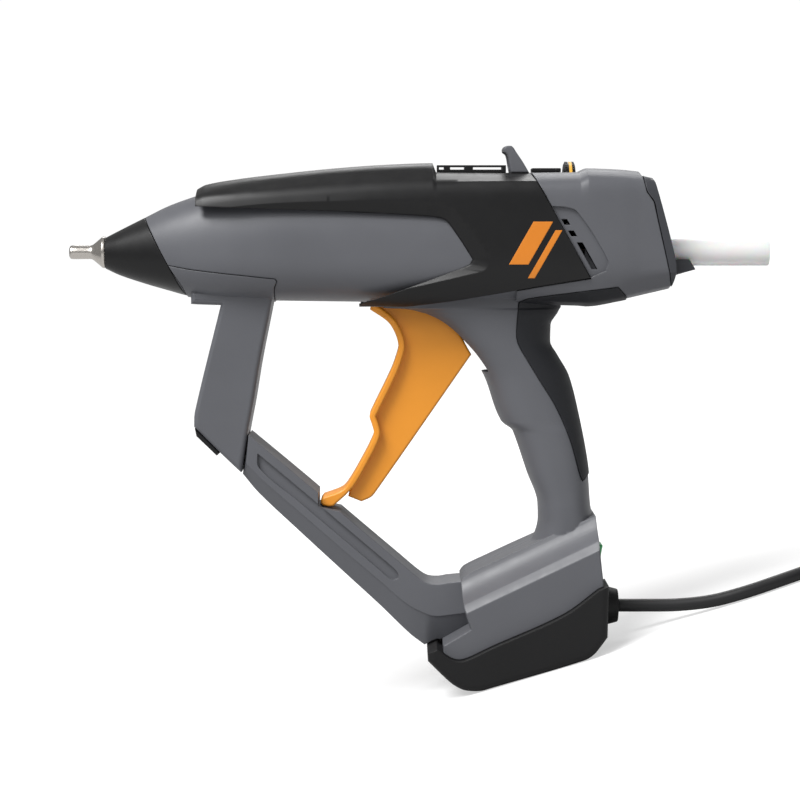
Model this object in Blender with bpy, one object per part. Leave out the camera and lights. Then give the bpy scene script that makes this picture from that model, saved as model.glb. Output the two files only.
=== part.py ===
"""Hot-melt glue gun with a closed handle, standing on the flat foot of its boot, with a coiled mains cord.

Metres, +Z up, nose towards -X. The gun is modelled in its own frame, in millimetres: X runs back from the
nozzle tip, Z up from the barrel axis. One empty tilts that frame so that the foot is flat on Z = 0.
"""

import math

import bmesh
import bpy
from mathutils import Matrix, Vector

MM = 0.001

# Driving dimensions, in millimetres and degrees.
STICK_DIAMETER = 11.2
STICK_FRONT = 44.0
STICK_BACK = 292.3
STICK_CLEARANCE = 0.7
BARREL_HALF_WIDTH = 26.0
COVER_THICKNESS = 2.4
GRIP_HALF_WIDTH = 17.5
BASE_HALF_WIDTH = 29.0
BOOT_HALF_WIDTH = 33.0
STRUT_HALF_WIDTH = 14.0
WALL = 2.5
GAP = 0.3
TRIGGER_WEB_HALF = 6.0
TRIGGER_FLANGE_HALF = 10.0
TRIGGER_FLANGE = 2.7
TRIGGER_PIVOT = (131.0, -12.6)
TRIGGER_ARM = 23.5
TRIGGER_LEAN = 12.0
PIN_RADIUS = 2.0
CARRIAGE_HALF_WIDTH = 10.5
ARM_THICKNESS = 3.2
CHAMBER_RADIUS = 9.5
HEATER_RADIUS = 3.0
WHEEL_RADIUS = 13.0
WHEEL_CENTRE_Z = 24.8
SPINDLE_RADIUS = 2.0
SCREW_RADIUS = 1.5
SCREW_HEAD_RADIUS = 3.0
SWITCH_HALF_WIDTH = 6.5
CORD_DIAMETER = 5.7
COIL_MEAN_RADIUS = 31.0
COIL_TURNS_ACROSS = 3
FOOT = ((174.7, -179.1), (213.8, -167.4))
AXIS_Z_CORD = -148.8

# The flat of the foot sets how far the gun leans back.
TILT = math.atan2(FOOT[1][1] - FOOT[0][1], FOOT[1][0] - FOOT[0][0])
FOOT_CENTRE = ((FOOT[0][0] + FOOT[1][0]) / 2, (FOOT[0][1] + FOOT[1][1]) / 2)

SCREWS = ((78.0, 19.5), (182.0, -14.5), (196.0, -64.0), (206.0, -108.0), (179.0, -143.0), (229.0, -13.6))

# Stations along the barrel: x, top, bottom, share of the half width, squareness.
CORE = (
    (15.2, 6.1, -6.9, 0.25, 2.0),
    (20.6, 8.9, -9.45, 0.354, 2.0),
    (31.8, 14.5, -13.2, 0.54, 2.1),
    (41.6, 19.3, -16.0, 0.685, 2.2),
    (50.0, 22.4, -18.2, 0.79, 2.3),
    (58.0, 24.8, -19.2, 0.865, 2.4),
    (72.0, 26.8, -19.9, 0.942, 2.5),
    (90.0, 28.6, -20.2, 0.985, 2.6),
    (121.0, 30.4, -20.6, 1.0, 2.7),
    (150.0, 30.8, -21.0, 1.0, 2.8),
    (190.0, 30.8, -21.4, 1.0, 2.8),
    (214.0, 30.8, -21.6, 0.98, 2.8),
)
REAR = (
    (183.5, 33.0, -20.8, 1.07, 2.9),
    (212.0, 33.4, -21.4, 1.055, 2.9),
    (215.3, 34.9, -21.7, 1.05, 2.9),
    (229.0, 34.4, -19.6, 1.01, 2.9),
    (237.0, 33.6, -17.8, 0.97, 2.9),
    (262.0, 31.5, -12.0, 0.90, 2.9),
)
# Stations down the handle: z, front, back, share of the grip's half width.
HANDLE = (
    (-11.0, 129.0, 203.5, 1.03),
    (-22.9, 126.5, 205.0, 1.03),
    (-23.4, 137.0, 204.6, 1.03),
    (-25.3, 145.5, 203.6, 1.02),
    (-29.9, 154.7, 200.8, 1.0),
    (-37.0, 162.7, 200.6, 0.98),
    (-42.7, 167.8, 203.6, 0.97),
    (-51.4, 173.3, 208.5, 0.96),
    (-70.7, 180.7, 213.4, 0.97),
    (-74.2, 185.2, 214.1, 0.98),
    (-76.0, 186.0, 214.5, 0.98),
    (-92.0, 191.5, 217.1, 1.0),
    (-105.4, 196.1, 218.1, 1.03),
    (-111.5, 196.3, 219.4, 1.08),
    (-120.1, 194.0, 220.4, 1.2),
    (-124.5, 185.0, 220.9, 1.3),
    (-128.8, 176.0, 221.3, 1.4),
    (-134.6, 164.6, 221.9, 1.5),
    (-136.3, 163.5, 222.1, 1.53),
    (-142.8, 164.2, 222.6, 1.6),
    (-149.3, 165.4, 222.8, 1.64),
    (-155.4, 167.8, 222.8, 1.65),
    (-162.3, 156.0, 222.8, 1.65),
    (-168.0, 156.0, 222.8, 1.65),
)
# Stations along the cover: x, top, crest, share of the barrel's half width.
COVER = (
    (54.3, 26.4, 22.3, 0.83),
    (57.5, 28.1, 23.1, 0.865),
    (71.0, 30.5, 24.0, 0.94),
    (90.0, 32.8, 25.1, 0.985),
    (113.0, 35.1, 26.5, 1.0),
    (129.8, 36.3, 27.6, 1.0),
    (151.6, 37.1, 28.6, 1.0),
    (153.1, 33.3, 28.7, 1.0),
    (192.0, 33.1, 29.2, 1.0),
    (222.0, 33.0, 29.2, 0.98),
)
COVER_REGION = (
    (54.3, 50.0), (182.4, 50.0), (191.9, 33.0), (216.0, -10.1), (195.7, -13.4), (176.8, -16.9),
    (150.4, -21.0), (129.8, -22.9), (100.0, -22.9), (54.3, 19.2),
)
PANEL_INNER = (
    (40.0, 19.5), (57.7, 19.0), (91.9, 17.8), (113.1, 16.9), (146.6, 15.0), (155.1, 14.0), (158.0, 12.0),
    (167.2, -2.5), (166.3, -4.5), (162.8, -6.3), (129.8, -18.4), (121.4, -20.8), (121.4, -32.0), (40.0, -32.0),
)
PANEL_OUTER = (
    (40.0, 22.2), (60.0, 22.2), (95.0, 22.5), (113.0, 22.1), (146.6, 20.5), (156.3, 19.3), (159.9, 17.6),
    (175.1, -2.8), (174.8, -5.6), (173.4, -8.1), (146.6, -15.8), (122.6, -22.6), (121.4, -32.0), (40.0, -32.0),
)
REAR_REGION = (
    (182.9, 50.0), (192.4, 33.0), (216.5, -10.5), (196.0, -13.8), (186.0, -15.6), (186.0, -60.0),
    (236.0, -60.0), (249.9, -13.6), (243.2, 15.3), (241.9, 20.9), (239.0, 25.0), (237.7, 31.0),
    (236.5, 33.8), (236.0, 50.0),
)
REAR_CAVITY = (
    (187.0, 50.0), (196.5, 33.0), (221.5, -11.0), (221.5, -60.0), (236.0, -60.0), (246.6, -13.6),
    (239.8, 15.3), (238.4, 19.4), (235.6, 24.0), (234.4, 30.0), (233.6, 50.0),
)
POCKET = (
    (195.6, 27.3), (200.0, 19.4), (206.2, 19.0), (210.8, 17.0), (223.4, -2.9), (222.6, -7.5), (216.2, -10.2),
)
PAD = (
    (187.4, -20.5), (191.0, -18.9), (227.6, -14.1), (231.9, -19.3), (236.0, -40.0), (236.0, -100.0),
    (219.0, -90.9), (214.1, -94.5), (213.2, -92.6), (209.0, -77.8), (203.2, -64.3), (196.1, -52.7),
    (191.0, -44.4), (187.1, -37.3), (186.5, -32.8),
)
BOOT_LINE = (
    (153.5, -162.1), (155.9, -164.1), (159.5, -166.5), (162.7, -167.2), (165.9, -166.5), (176.0, -161.7),
    (205.7, -148.2), (219.9, -137.7),
)
BOOT_UNDER = (
    (224.0, -137.0), (223.6, -157.7), (221.2, -161.0), (218.0, -164.9), (213.8, -167.4), (174.7, -179.1),
    (171.8, -179.9), (167.6, -180.0), (163.9, -179.4), (159.1, -176.6), (149.7, -167.6), (149.5, -164.6),
)
CLIP_REGION = (
    (42.9, -5.4), (54.2, -7.3), (86.9, -10.8), (87.5, -11.7), (86.3, -15.2), (86.0, -40.0), (49.7, -40.0),
    (49.7, -18.1),
)
UPPER_STRUT = (
    (51.6, -16.0), (51.6, -21.2), (54.2, -21.4), (63.9, -21.7), (52.9, -66.2), (52.6, -72.3), (63.1, -82.8),
    (71.9, -91.2), (72.3, -91.2), (74.9, -75.2), (77.4, -62.0), (80.2, -45.2), (84.4, -24.2), (86.0, -16.0),
)
LOWER_STRUT = (
    (75.3, -75.6), (96.2, -93.0), (113.0, -107.3), (129.8, -121.6), (138.2, -128.7), (145.9, -135.2),
    (149.9, -137.6), (154.7, -138.0), (157.9, -137.4), (162.9, -136.4), (163.4, -142.8), (164.7, -149.4),
    (167.0, -155.2), (155.4, -161.6), (153.3, -161.6), (148.5, -164.0), (142.4, -159.4), (129.8, -147.2),
    (113.0, -131.7), (96.2, -116.1), (79.4, -100.2), (72.6, -92.1),
)
LOWER_RIDGE = (
    (75.3, -75.6), (96.2, -93.0), (113.0, -107.3), (129.8, -121.6), (138.2, -128.7), (145.9, -135.2),
    (149.9, -137.6), (154.7, -138.0), (157.9, -137.4), (162.9, -136.4), (163.4, -142.0), (164.3, -147.6),
    (164.7, -149.4), (156.0, -151.4), (153.6, -151.6), (149.9, -150.9), (141.4, -146.6), (129.8, -136.8),
    (113.0, -122.4), (96.2, -107.8), (82.0, -95.4), (74.2, -87.6),
)
TRIGGER_FRONT = (
    (125.7, -23.6), (133.1, -28.7), (136.2, -33.6), (137.5, -38.6), (136.8, -42.3), (134.4, -49.0),
    (126.4, -65.6), (125.5, -68.1), (126.4, -71.2), (127.3, -74.9), (126.4, -78.0), (122.7, -85.4),
    (117.1, -95.2), (114.0, -98.9), (106.1, -102.0),
)
TRIGGER_TOE = (106.1, -105.4)
TRIGGER_WEB = (
    (126.6, -15.0), (128.0, -24.0), (134.0, -29.5), (138.0, -36.0), (138.0, -43.0), (135.6, -49.6),
    (127.6, -66.0), (127.4, -69.0), (128.6, -75.0), (124.0, -86.0), (118.0, -96.6), (116.5, -102.0),
    (122.0, -104.2), (125.7, -102.6), (127.6, -100.8), (168.0, -42.5), (160.0, -30.0), (146.0, -22.5),
    (135.5, -13.0),
)
REAR_CAP = (
    (238.0, 31.6), (241.7, 30.7), (242.8, 28.8), (251.1, -2.7), (251.4, -9.8), (250.3, -13.9),
    (243.6, 15.4), (242.3, 21.1), (239.4, 25.2),
)
CAP_LIP = ((248.9, -2.7), (258.4, -2.7), (261.0, -7.0), (252.9, -9.3), (250.6, -10.3))
FIN = (
    (181.0, 44.1), (184.2, 44.1), (185.9, 42.0), (189.0, 37.4), (191.4, 33.5), (184.0, 33.5), (182.5, 40.5),
)
ELBOW = ((52.9, -72.9), (63.2, -83.2), (62.0, -84.3), (53.6, -76.2))

MATERIALS = {
    "grey_plastic": ((0.125, 0.13, 0.14), 0.5, 0.0),
    "black_plastic": ((0.016, 0.016, 0.017), 0.42, 0.0),
    "cap_plastic": ((0.05, 0.053, 0.06), 0.5, 0.0),
    "rubber": ((0.012, 0.012, 0.013), 0.75, 0.0),
    "orange_plastic": ((0.80, 0.29, 0.02), 0.42, 0.0),
    "light_plastic": ((0.28, 0.29, 0.31), 0.5, 0.0),
    "steel": ((0.62, 0.61, 0.59), 0.28, 1.0),
    "aluminium": ((0.72, 0.72, 0.73), 0.4, 1.0),
    "silicone": ((0.5, 0.08, 0.05), 0.6, 0.0),
    "glue": ((0.82, 0.84, 0.84), 0.3, 0.0),
    "green_plastic": ((0.1, 0.55, 0.2), 0.35, 0.0),
    "board_green": ((0.02, 0.14, 0.06), 0.5, 0.0),
    "brass": ((0.72, 0.5, 0.18), 0.35, 1.0),
}


def clear_scene():
    """Remove everything the file starts with."""
    for obj in list(bpy.data.objects):
        bpy.data.objects.remove(obj, do_unlink=True)
    for mesh in list(bpy.data.meshes):
        bpy.data.meshes.remove(mesh)


def material_for(name, kind):
    """A material of this object's own."""
    colour, roughness, metallic = MATERIALS[kind]
    material = bpy.data.materials.new(f"{name}_{kind}")
    material.use_nodes = True
    shader = material.node_tree.nodes["Principled BSDF"]
    shader.inputs["Base Color"].default_value = (*colour, 1.0)
    shader.inputs["Roughness"].default_value = roughness
    shader.inputs["Metallic"].default_value = metallic
    material.diffuse_color = (*colour, 1.0)
    return material


def solid(bm, name="piece"):
    """An object from a bmesh whose points are in millimetres."""
    bmesh.ops.recalc_face_normals(bm, faces=bm.faces)
    if bm.calc_volume(signed=True) < 0:
        bmesh.ops.reverse_faces(bm, faces=bm.faces)
    mesh = bpy.data.meshes.new(name)
    bm.to_mesh(mesh)
    bm.free()
    obj = bpy.data.objects.new(name, mesh)
    bpy.context.scene.collection.objects.link(obj)
    return obj


def loft(rings):
    """A closed solid through rings of as many points each, with flat ends."""
    bm = bmesh.new()
    rows = [[bm.verts.new(point) for point in ring] for ring in rings]
    count = len(rows[0])
    for first, second in zip(rows, rows[1:]):
        for i in range(count):
            j = (i + 1) % count
            bm.faces.new((first[i], first[j], second[j], second[i]))
    bm.faces.new(rows[0])
    bm.faces.new(reversed(rows[-1]))
    return solid(bm)


def prism(outline, y0, y1):
    """An outline of (x, z) points carried from y0 to y1."""
    return loft([[(x, y, z) for x, z in outline] for y in (y0, y1)])


def inset(outline, by):
    """The outline moved inwards by a distance, corner by corner."""
    points = [Vector(point) for point in outline]
    area = sum(a.x * b.y - b.x * a.y for a, b in zip(points, points[1:] + points[:1]))
    side = 1.0 if area > 0 else -1.0
    moved = []
    for i, point in enumerate(points):
        before = (point - points[i - 1]).normalized()
        after = (points[(i + 1) % len(points)] - point).normalized()
        normal = Vector((-before.y - after.y, before.x + after.x)) * side
        normal.normalize()
        along = max(normal.dot(Vector((-after.y, after.x)) * side), 0.5)
        moved.append(tuple(point + normal * (by / along)))
    return moved


def slab(outline, half, edge, steps=2):
    """A prism about y = 0 whose side edges are rounded to a radius."""
    rings = []
    angles = [math.pi / 2 * i / steps for i in range(steps + 1)]
    for angle in angles:
        depth = edge * (1 - math.sin(angle))
        y = half - edge * (1 - math.cos(angle))
        rings.append([(x, -y, z) for x, z in inset(outline, depth)])
    for ring in reversed(rings[:]):
        rings.append([(x, -y, z) for x, y, z in ring])
    return loft(rings)


def box(x0, x1, y0, y1, z0, z1):
    return prism(((x0, z0), (x1, z0), (x1, z1), (x0, z1)), y0, y1)


def turned(profile, z=0.0, y=0.0, count=24, axis="X", x=0.0):
    """A profile of (along, radius) points turned about a line along X, Y or Z."""
    rings = []
    for along, radius in profile:
        ring = []
        for i in range(count):
            a = 2 * math.pi * (i + 0.5) / count
            u = radius * math.cos(a)
            v = radius * math.sin(a)
            if axis == "X":
                ring.append((along, y + u, z + v))
            elif axis == "Y":
                ring.append((x + u, along, z + v))
            else:
                ring.append((x + u, y + v, along))
        rings.append(ring)
    return loft(rings)


def rod_y(x, z, radius, y0, y1, count=16):
    return turned(((y0, radius), (y1, radius)), z=z, x=x, axis="Y", count=count)


def super_ring(centre, up, down, half, power, count=24):
    """Offsets (across, along) round a squared ellipse with unlike upper and lower halves."""
    ring = []
    for i in range(count):
        a = 2 * math.pi * (i + 0.5) / count
        c = math.cos(a)
        s = math.sin(a)
        across = half * math.copysign(abs(c) ** (2 / power), c)
        rise = up if s >= 0 else down
        ring.append((across, centre + rise * math.copysign(abs(s) ** (2 / power), s)))
    return ring


def barrel(stations, offset=0.0, scale_end=0.0):
    """The barrel through its stations, grown by an offset."""
    rings = []
    for x, top, bottom, share, power in stations:
        half = share * BARREL_HALF_WIDTH + offset
        ring = super_ring(0.0, top + offset, -bottom + offset, half, power)
        rings.append([(x, y, z) for y, z in ring])
    return loft(rings)


def handle(offset=0.0):
    """The handle through its stations, grown by an offset."""
    rings = []
    for z, front, back, share in HANDLE:
        half = share * GRIP_HALF_WIDTH + offset
        if z < -130.0:
            half = half * BASE_HALF_WIDTH / 29.0
        middle = (front + back) / 2
        length = (back - front) / 2 + offset
        ring = super_ring(middle, length, length, half, 2.8, count=20)
        rings.append([(x, y, z) for y, x in ring])
    return loft(rings)


def cover_shell(offset=0.0):
    rings = []
    for x, top, crest, share in COVER:
        half = share * BARREL_HALF_WIDTH + COVER_THICKNESS + offset
        right = [
            (half * 0.26, top + offset), (half * 0.55, top - 1.0 + offset), (half * 0.91, crest + offset),
            (half * 0.985, crest - 5.0), (half, 8.0), (half, -5.0), (half * 0.96, -12.0),
            (half * 0.86, -18.0), (half * 0.66, -23.0 - offset), (half * 0.3, -24.5 - offset),
        ]
        ring = right + [(-y, z) for y, z in reversed(right)]
        rings.append([(x, y, z) for y, z in ring])
    return loft(rings)


def combine(target, other, operation, keep=False):
    """One exact Boolean, applied at once."""
    modifier = target.modifiers.new("combine", "BOOLEAN")
    modifier.operation = operation
    modifier.solver = "EXACT"
    modifier.object = other
    graph = bpy.context.evaluated_depsgraph_get()
    graph.update()
    mesh = bpy.data.meshes.new_from_object(target.evaluated_get(graph))
    target.modifiers.clear()
    target.data = mesh
    if not keep:
        bpy.data.objects.remove(other, do_unlink=True)
    return target


def join(target, *others):
    for other in others:
        combine(target, other, "UNION")
    return target


def cut(target, *others):
    for other in others:
        combine(target, other, "DIFFERENCE")
    return target


def common(target, other):
    return combine(target, other, "INTERSECT")


def copied(obj):
    twin = obj.copy()
    twin.data = obj.data.copy()
    bpy.context.scene.collection.objects.link(twin)
    return twin


def flatten(obj):
    """Join faces that lie in one plane, which a Boolean leaves in strips."""
    bm = bmesh.new()
    bm.from_mesh(obj.data)
    bmesh.ops.remove_doubles(bm, verts=bm.verts, dist=0.002)
    bmesh.ops.dissolve_limit(bm, angle_limit=math.radians(0.3), verts=bm.verts, edges=bm.edges)
    bm.to_mesh(obj.data)
    bm.free()


def finish(obj, name, kind, origin=(0.0, 0.0, 0.0)):
    """Name the piece, give it its material, put its origin in place and hang it in the tilted frame."""
    flatten(obj)
    obj.name = name
    obj.data.name = name
    obj.data.materials.clear()
    obj.data.materials.append(material_for(name, kind))
    place = Vector(origin) * MM
    obj.data.transform(Matrix.Translation(-place) @ Matrix.Scale(MM, 4))
    obj.location = place
    obj.parent = FRAME
    return obj


def tilted_frame():
    frame = bpy.data.objects.new("gun_frame", None)
    bpy.context.scene.collection.objects.link(frame)
    angle = TILT
    frame.rotation_euler = (0.0, angle, 0.0)
    x, z = FOOT_CENTRE
    turned_x = x * math.cos(angle) + z * math.sin(angle)
    turned_z = -x * math.sin(angle) + z * math.cos(angle)
    frame.location = (-turned_x * MM, 0.0, -turned_z * MM)
    return frame


def screw_cutters():
    cutters = []
    for x, z in SCREWS:
        cutters.append(rod_y(x, z, SCREW_HEAD_RADIUS + GAP, 8.0, 45.0))
        cutters.append(rod_y(x, z, SCREW_RADIUS + GAP, -12.5, 9.0))
    return cutters


def outer_body(offset=0.0):
    """The outside of the rear housing and the handle, for the soft pad."""
    rear = common(barrel(REAR, offset), prism(REAR_REGION, -60.0, 60.0))
    return join(rear, handle(offset))


def build_housing():
    """Both housing halves: barrel, rear housing, grip and base in one moulding, split down the middle."""
    shell = barrel(CORE)
    join(shell, common(barrel(REAR), prism(REAR_REGION, -60.0, 60.0)))
    join(shell, handle())
    cavity = barrel(CORE, -WALL)
    join(cavity, common(barrel(REAR, -WALL), prism(REAR_CAVITY, -60.0, 60.0)))
    join(cavity, handle(-WALL))
    for x, z in SCREWS:
        cut(cavity, rod_y(x, z, SCREW_HEAD_RADIUS + GAP + 1.3, -45.0, 45.0))
    px, pz = TRIGGER_PIVOT
    for side in (-1.0, 1.0):
        cut(cavity, rod_y(px, pz, 4.3, side * (CARRIAGE_HALF_WIDTH + ARM_THICKNESS + 1.2), side * 45.0))
    cut(shell, cavity, rod_y(px, pz, PIN_RADIUS + GAP, -19.0, 19.0))
    cut(shell, prism(((0.0, 40.0), (19.2, 40.0), (32.1, 14.7), (49.5, -18.0), (49.5, -40.0), (0.0, -40.0)), -40.0, 40.0))
    cut(shell, prism(inset(CLIP_REGION, -GAP), -40.0, 40.0))
    cut(shell, box(124.4, 177.5, -TRIGGER_FLANGE_HALF - 0.8, TRIGGER_FLANGE_HALF + 0.8, -49.6, -12.0))
    slot = math.sqrt(WHEEL_RADIUS**2 - (30.6 - WHEEL_CENTRE_Z) ** 2) + 0.6
    cut(shell, box(205.5, 211.8, -slot, slot, 27.0, 50.0))
    cut(shell, turned(((200.0, 12.0), (270.0, 12.0)), count=32))
    cut(shell, box(212.0, 232.0, -SWITCH_HALF_WIDTH - GAP, SWITCH_HALF_WIDTH + GAP, -142.6, -120.2))
    below = list(BOOT_LINE) + [(240.0, -130.0), (240.0, -200.0), (140.0, -200.0), (140.0, -162.1)]
    cut(shell, prism(below, -60.0, 60.0))
    pocket = barrel(REAR, 3.0)
    cut(pocket, barrel(REAR, -1.2))
    common(pocket, prism(POCKET, -60.0, 60.0))
    cut(shell, pocket)
    for side in (-1.0, 1.0):
        for outline in (
            ((204.0, 13.9), (206.4, 13.9), (207.8, 11.6), (205.4, 11.6)),
            ((206.8, 9.2), (209.2, 9.2), (210.6, 6.9), (208.2, 6.9)),
            ((210.4, 4.4), (212.8, 4.4), (219.0, -6.6), (216.6, -6.6)),
        ):
            cut(shell, prism(outline, side * 20.0, side * 35.0))
    recess = prism(inset(PAD, -GAP), -61.0, 61.0)
    cut(recess, outer_body(-1.4))
    cut(shell, recess)
    cut(shell, *screw_cutters())
    right = copied(shell)
    common(shell, box(-11.0, 301.0, -61.0, -GAP / 2, -201.0, 61.0))
    common(right, box(-11.0, 301.0, GAP / 2, 61.0, -201.0, 61.0))
    finish(shell, "housing_left", "grey_plastic")
    finish(right, "housing_right", "grey_plastic")


def build_cover():
    """The black upper cover in two halves, with a bevelled opening round the side panel."""
    shell = cover_shell()
    cut(shell, cover_shell(-2.2), barrel(CORE, GAP), handle(GAP), box(60.0, 240.0, -19.0, 19.0, -60.0, -14.0))
    common(shell, prism(COVER_REGION, -60.0, 60.0))
    bevel = COVER_THICKNESS
    for side in (-1.0, 1.0):
        rings = []
        for y, outline in (
            (1.0, PANEL_INNER), (BARREL_HALF_WIDTH + 0.1, PANEL_INNER),
            (BARREL_HALF_WIDTH + bevel + 0.1, PANEL_OUTER), (60.0, PANEL_OUTER),
        ):
            rings.append([(x, side * y, z) for x, z in outline])
        cut(shell, loft(rings))
    right = copied(shell)
    cut(shell, box(40.0, 240.0, -GAP / 2, 60.0, -60.0, 60.0))
    cut(right, box(40.0, 240.0, -60.0, GAP / 2, -60.0, 60.0))
    finish(shell, "cover_left", "black_plastic")
    finish(right, "cover_right", "black_plastic")


def build_nose():
    """Nose cap, nozzle and the anti-drip valve."""
    cap = barrel(CORE)
    cut(cap, barrel(CORE, -2.4), turned(((10.0, 5.4), (40.0, 5.4))))
    common(cap, prism(((10.0, 40.0), (18.8, 40.0), (31.8, 14.5), (49.2, -18.0), (49.2, -40.0), (10.0, -40.0)), -40.0, 40.0))
    finish(cap, "nose_cap", "black_plastic")
    nozzle = turned(((0.0, 2.3), (0.6, 2.85), (9.4, 2.85), (13.9, 6.6), (14.9, 6.6), (14.9, 4.8), (22.0, 4.8)), count=28)
    cut(nozzle, turned(((-1.0, 1.2), (8.5, 1.2), (10.5, 3.2), (23.0, 3.2)), count=20))
    finish(nozzle, "nozzle", "steel")
    ball = turned([(19.1 - 2.4 * math.cos(a), max(2.4 * math.sin(a), 0.15)) for a in [math.pi * i / 8 for i in range(9)]], count=14)
    finish(ball, "valve_ball", "steel", (19.1, 0.0, 0.0))
    finish(coil_spring((11.2, 16.4), 2.3, 0.35, 5, 4), "valve_spring", "steel", (11.2, 0.0, 0.0))


def coil_spring(span, radius, wire, turns, sides, per_turn=10):
    """A wire spring along X, round the barrel axis, closed at both ends."""
    start, end = span
    steps = turns * per_turn
    bm_rings = []
    pitch = (end - start - 2 * wire) / turns
    for i in range(steps + 1):
        a = 2 * math.pi * i / per_turn
        centre = Vector((start + wire + pitch * i / per_turn, radius * math.cos(a), radius * math.sin(a)))
        outward = Vector((0.0, math.cos(a), math.sin(a)))
        along = Vector((pitch / (2 * math.pi), -radius * math.sin(a), radius * math.cos(a))).normalized()
        across = along.cross(outward).normalized()
        ring = []
        for k in range(sides):
            b = 2 * math.pi * (k + 0.5) / sides
            ring.append(centre + outward * (wire * math.cos(b)) + across * (wire * math.sin(b)))
        bm_rings.append([tuple(point) for point in ring])
    return loft(bm_rings)


def build_heat():
    """Melt chamber, heater cartridge and its strap, inlet sleeve."""
    bore = STICK_DIAMETER / 2 + 0.3
    chamber = turned(((22.4, 7.2), (40.0, 7.2), (44.0, CHAMBER_RADIUS), (92.0, CHAMBER_RADIUS)), count=28)
    cut(chamber, turned(((20.0, 1.8), (28.0, 1.8), (31.0, bore), (93.0, bore)), count=28))
    finish(chamber, "melt_chamber", "aluminium")
    height = CHAMBER_RADIUS + HEATER_RADIUS + GAP
    heater = turned(((46.0, HEATER_RADIUS), (68.0, HEATER_RADIUS)), z=height, count=18)
    finish(heater, "heater_cartridge", "steel")
    strap = strap_solid(CHAMBER_RADIUS + 1.5, HEATER_RADIUS + 1.5, height, 54.0, 62.0)
    cut(strap, strap_solid(CHAMBER_RADIUS + 0.3, HEATER_RADIUS + 0.3, height, 53.0, 63.0))
    finish(strap, "heater_strap", "steel")
    sleeve = turned(((92.3, 8.6), (96.0, 8.6), (97.0, 10.5), (99.5, 10.5), (100.5, 8.2), (104.8, 8.2)), count=28)
    cut(sleeve, turned(((90.0, bore), (110.0, bore)), count=28))
    finish(sleeve, "inlet_sleeve", "silicone")


def strap_solid(lower, upper, height, x0, x1):
    """The hull of two circles, one above the other, carried along X."""
    lean = math.asin((lower - upper) / height)
    ring = []
    for i in range(15):
        a = math.pi - lean + (math.pi + 2 * lean) * i / 14
        ring.append((lower * math.cos(a), lower * math.sin(a)))
    for i in range(9):
        a = lean + (math.pi - 2 * lean) * i / 8
        ring.append((upper * math.cos(a), height + upper * math.sin(a)))
    return loft([[(x, y, z) for y, z in ring] for x in (x0, x1)])


def build_feed():
    """Feed carriage, clamp jaw, guide and the stroke adjuster."""
    bore = STICK_DIAMETER / 2 + STICK_CLEARANCE
    lean = math.radians(TRIGGER_LEAN)
    pin_x = TRIGGER_PIVOT[0] + TRIGGER_ARM * math.tan(lean)
    pin_z = TRIGGER_PIVOT[1] + TRIGGER_ARM
    carriage = box(128.0, 152.0, -CARRIAGE_HALF_WIDTH, CARRIAGE_HALF_WIDTH, -7.9, 13.6)
    reach = CARRIAGE_HALF_WIDTH + 0.8 + ARM_THICKNESS + 0.4
    join(carriage, rod_y(pin_x, pin_z, PIN_RADIUS, -reach, reach))
    cut(carriage, turned(((120.0, bore), (160.0, bore)), count=28))
    cut(carriage, box(142.4, 146.6, -8.6, 8.6, -7.0, 20.0))
    finish(carriage, "feed_carriage", "black_plastic", (128.0, 0.0, 0.0))
    jaw = box(142.7, 146.3, -8.3, 8.3, -6.7, 16.0)
    cut(jaw, turned(((140.0, bore - 0.4), (150.0, bore - 0.4)), count=28))
    finish(jaw, "clamp_jaw", "steel", (128.0, 0.0, 0.0))
    finish(coil_spring((105.2, 127.6), 8.3, 0.6, 6, 6), "return_spring", "steel", (105.2, 0.0, 0.0))
    guide = turned(((168.0, 8.4), (238.0, 8.4)), count=28)
    for x in (168.0, 198.0):
        join(guide, box(x, x + 3.0, -4.6, 4.6, 0.0, WHEEL_CENTRE_Z + SPINDLE_RADIUS + 0.9))
    cut(guide, turned(((160.0, bore), (250.0, bore)), count=28))
    cut(guide, turned(((160.0, SPINDLE_RADIUS + GAP), (204.0, SPINDLE_RADIUS + GAP)), z=WHEEL_CENTRE_Z, count=18))
    finish(guide, "feed_guide", "cap_plastic")
    axis = (206.3, 0.0, WHEEL_CENTRE_Z)
    edge = 0.9
    wheel = turned(
        ((206.3, WHEEL_RADIUS - edge), (206.3 + edge, WHEEL_RADIUS), (211.0 - edge, WHEEL_RADIUS), (211.0, WHEEL_RADIUS - edge)),
        z=WHEEL_CENTRE_Z,
        count=32,
    )
    cut(wheel, turned(((200.0, SPINDLE_RADIUS - 0.4), (214.0, SPINDLE_RADIUS - 0.4)), z=WHEEL_CENTRE_Z, count=18))
    finish(wheel, "thumbwheel", "black_plastic", axis)
    spindle = turned(
        ((154.6, SPINDLE_RADIUS), (205.9, SPINDLE_RADIUS), (205.9, SPINDLE_RADIUS - 0.7), (212.2, SPINDLE_RADIUS - 0.7)),
        z=WHEEL_CENTRE_Z,
        count=18,
    )
    finish(spindle, "adjuster_spindle", "brass", axis)
    stop = box(157.6, 163.4, -4.6, 4.6, 10.0, WHEEL_CENTRE_Z + SPINDLE_RADIUS + 1.1)
    cut(stop, turned(((150.0, SPINDLE_RADIUS + GAP), (170.0, SPINDLE_RADIUS + GAP)), z=WHEEL_CENTRE_Z, count=18))
    finish(stop, "stroke_stop", "black_plastic", (157.6, 0.0, WHEEL_CENTRE_Z))
    stick = turned(
        ((STICK_FRONT, 4.6), (STICK_FRONT + 1.2, STICK_DIAMETER / 2), (STICK_BACK - 0.4, STICK_DIAMETER / 2), (STICK_BACK, STICK_DIAMETER / 2 - 0.4)),
        count=28,
    )
    finish(stick, "glue_stick", "glue", (STICK_FRONT, 0.0, 0.0))


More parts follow.
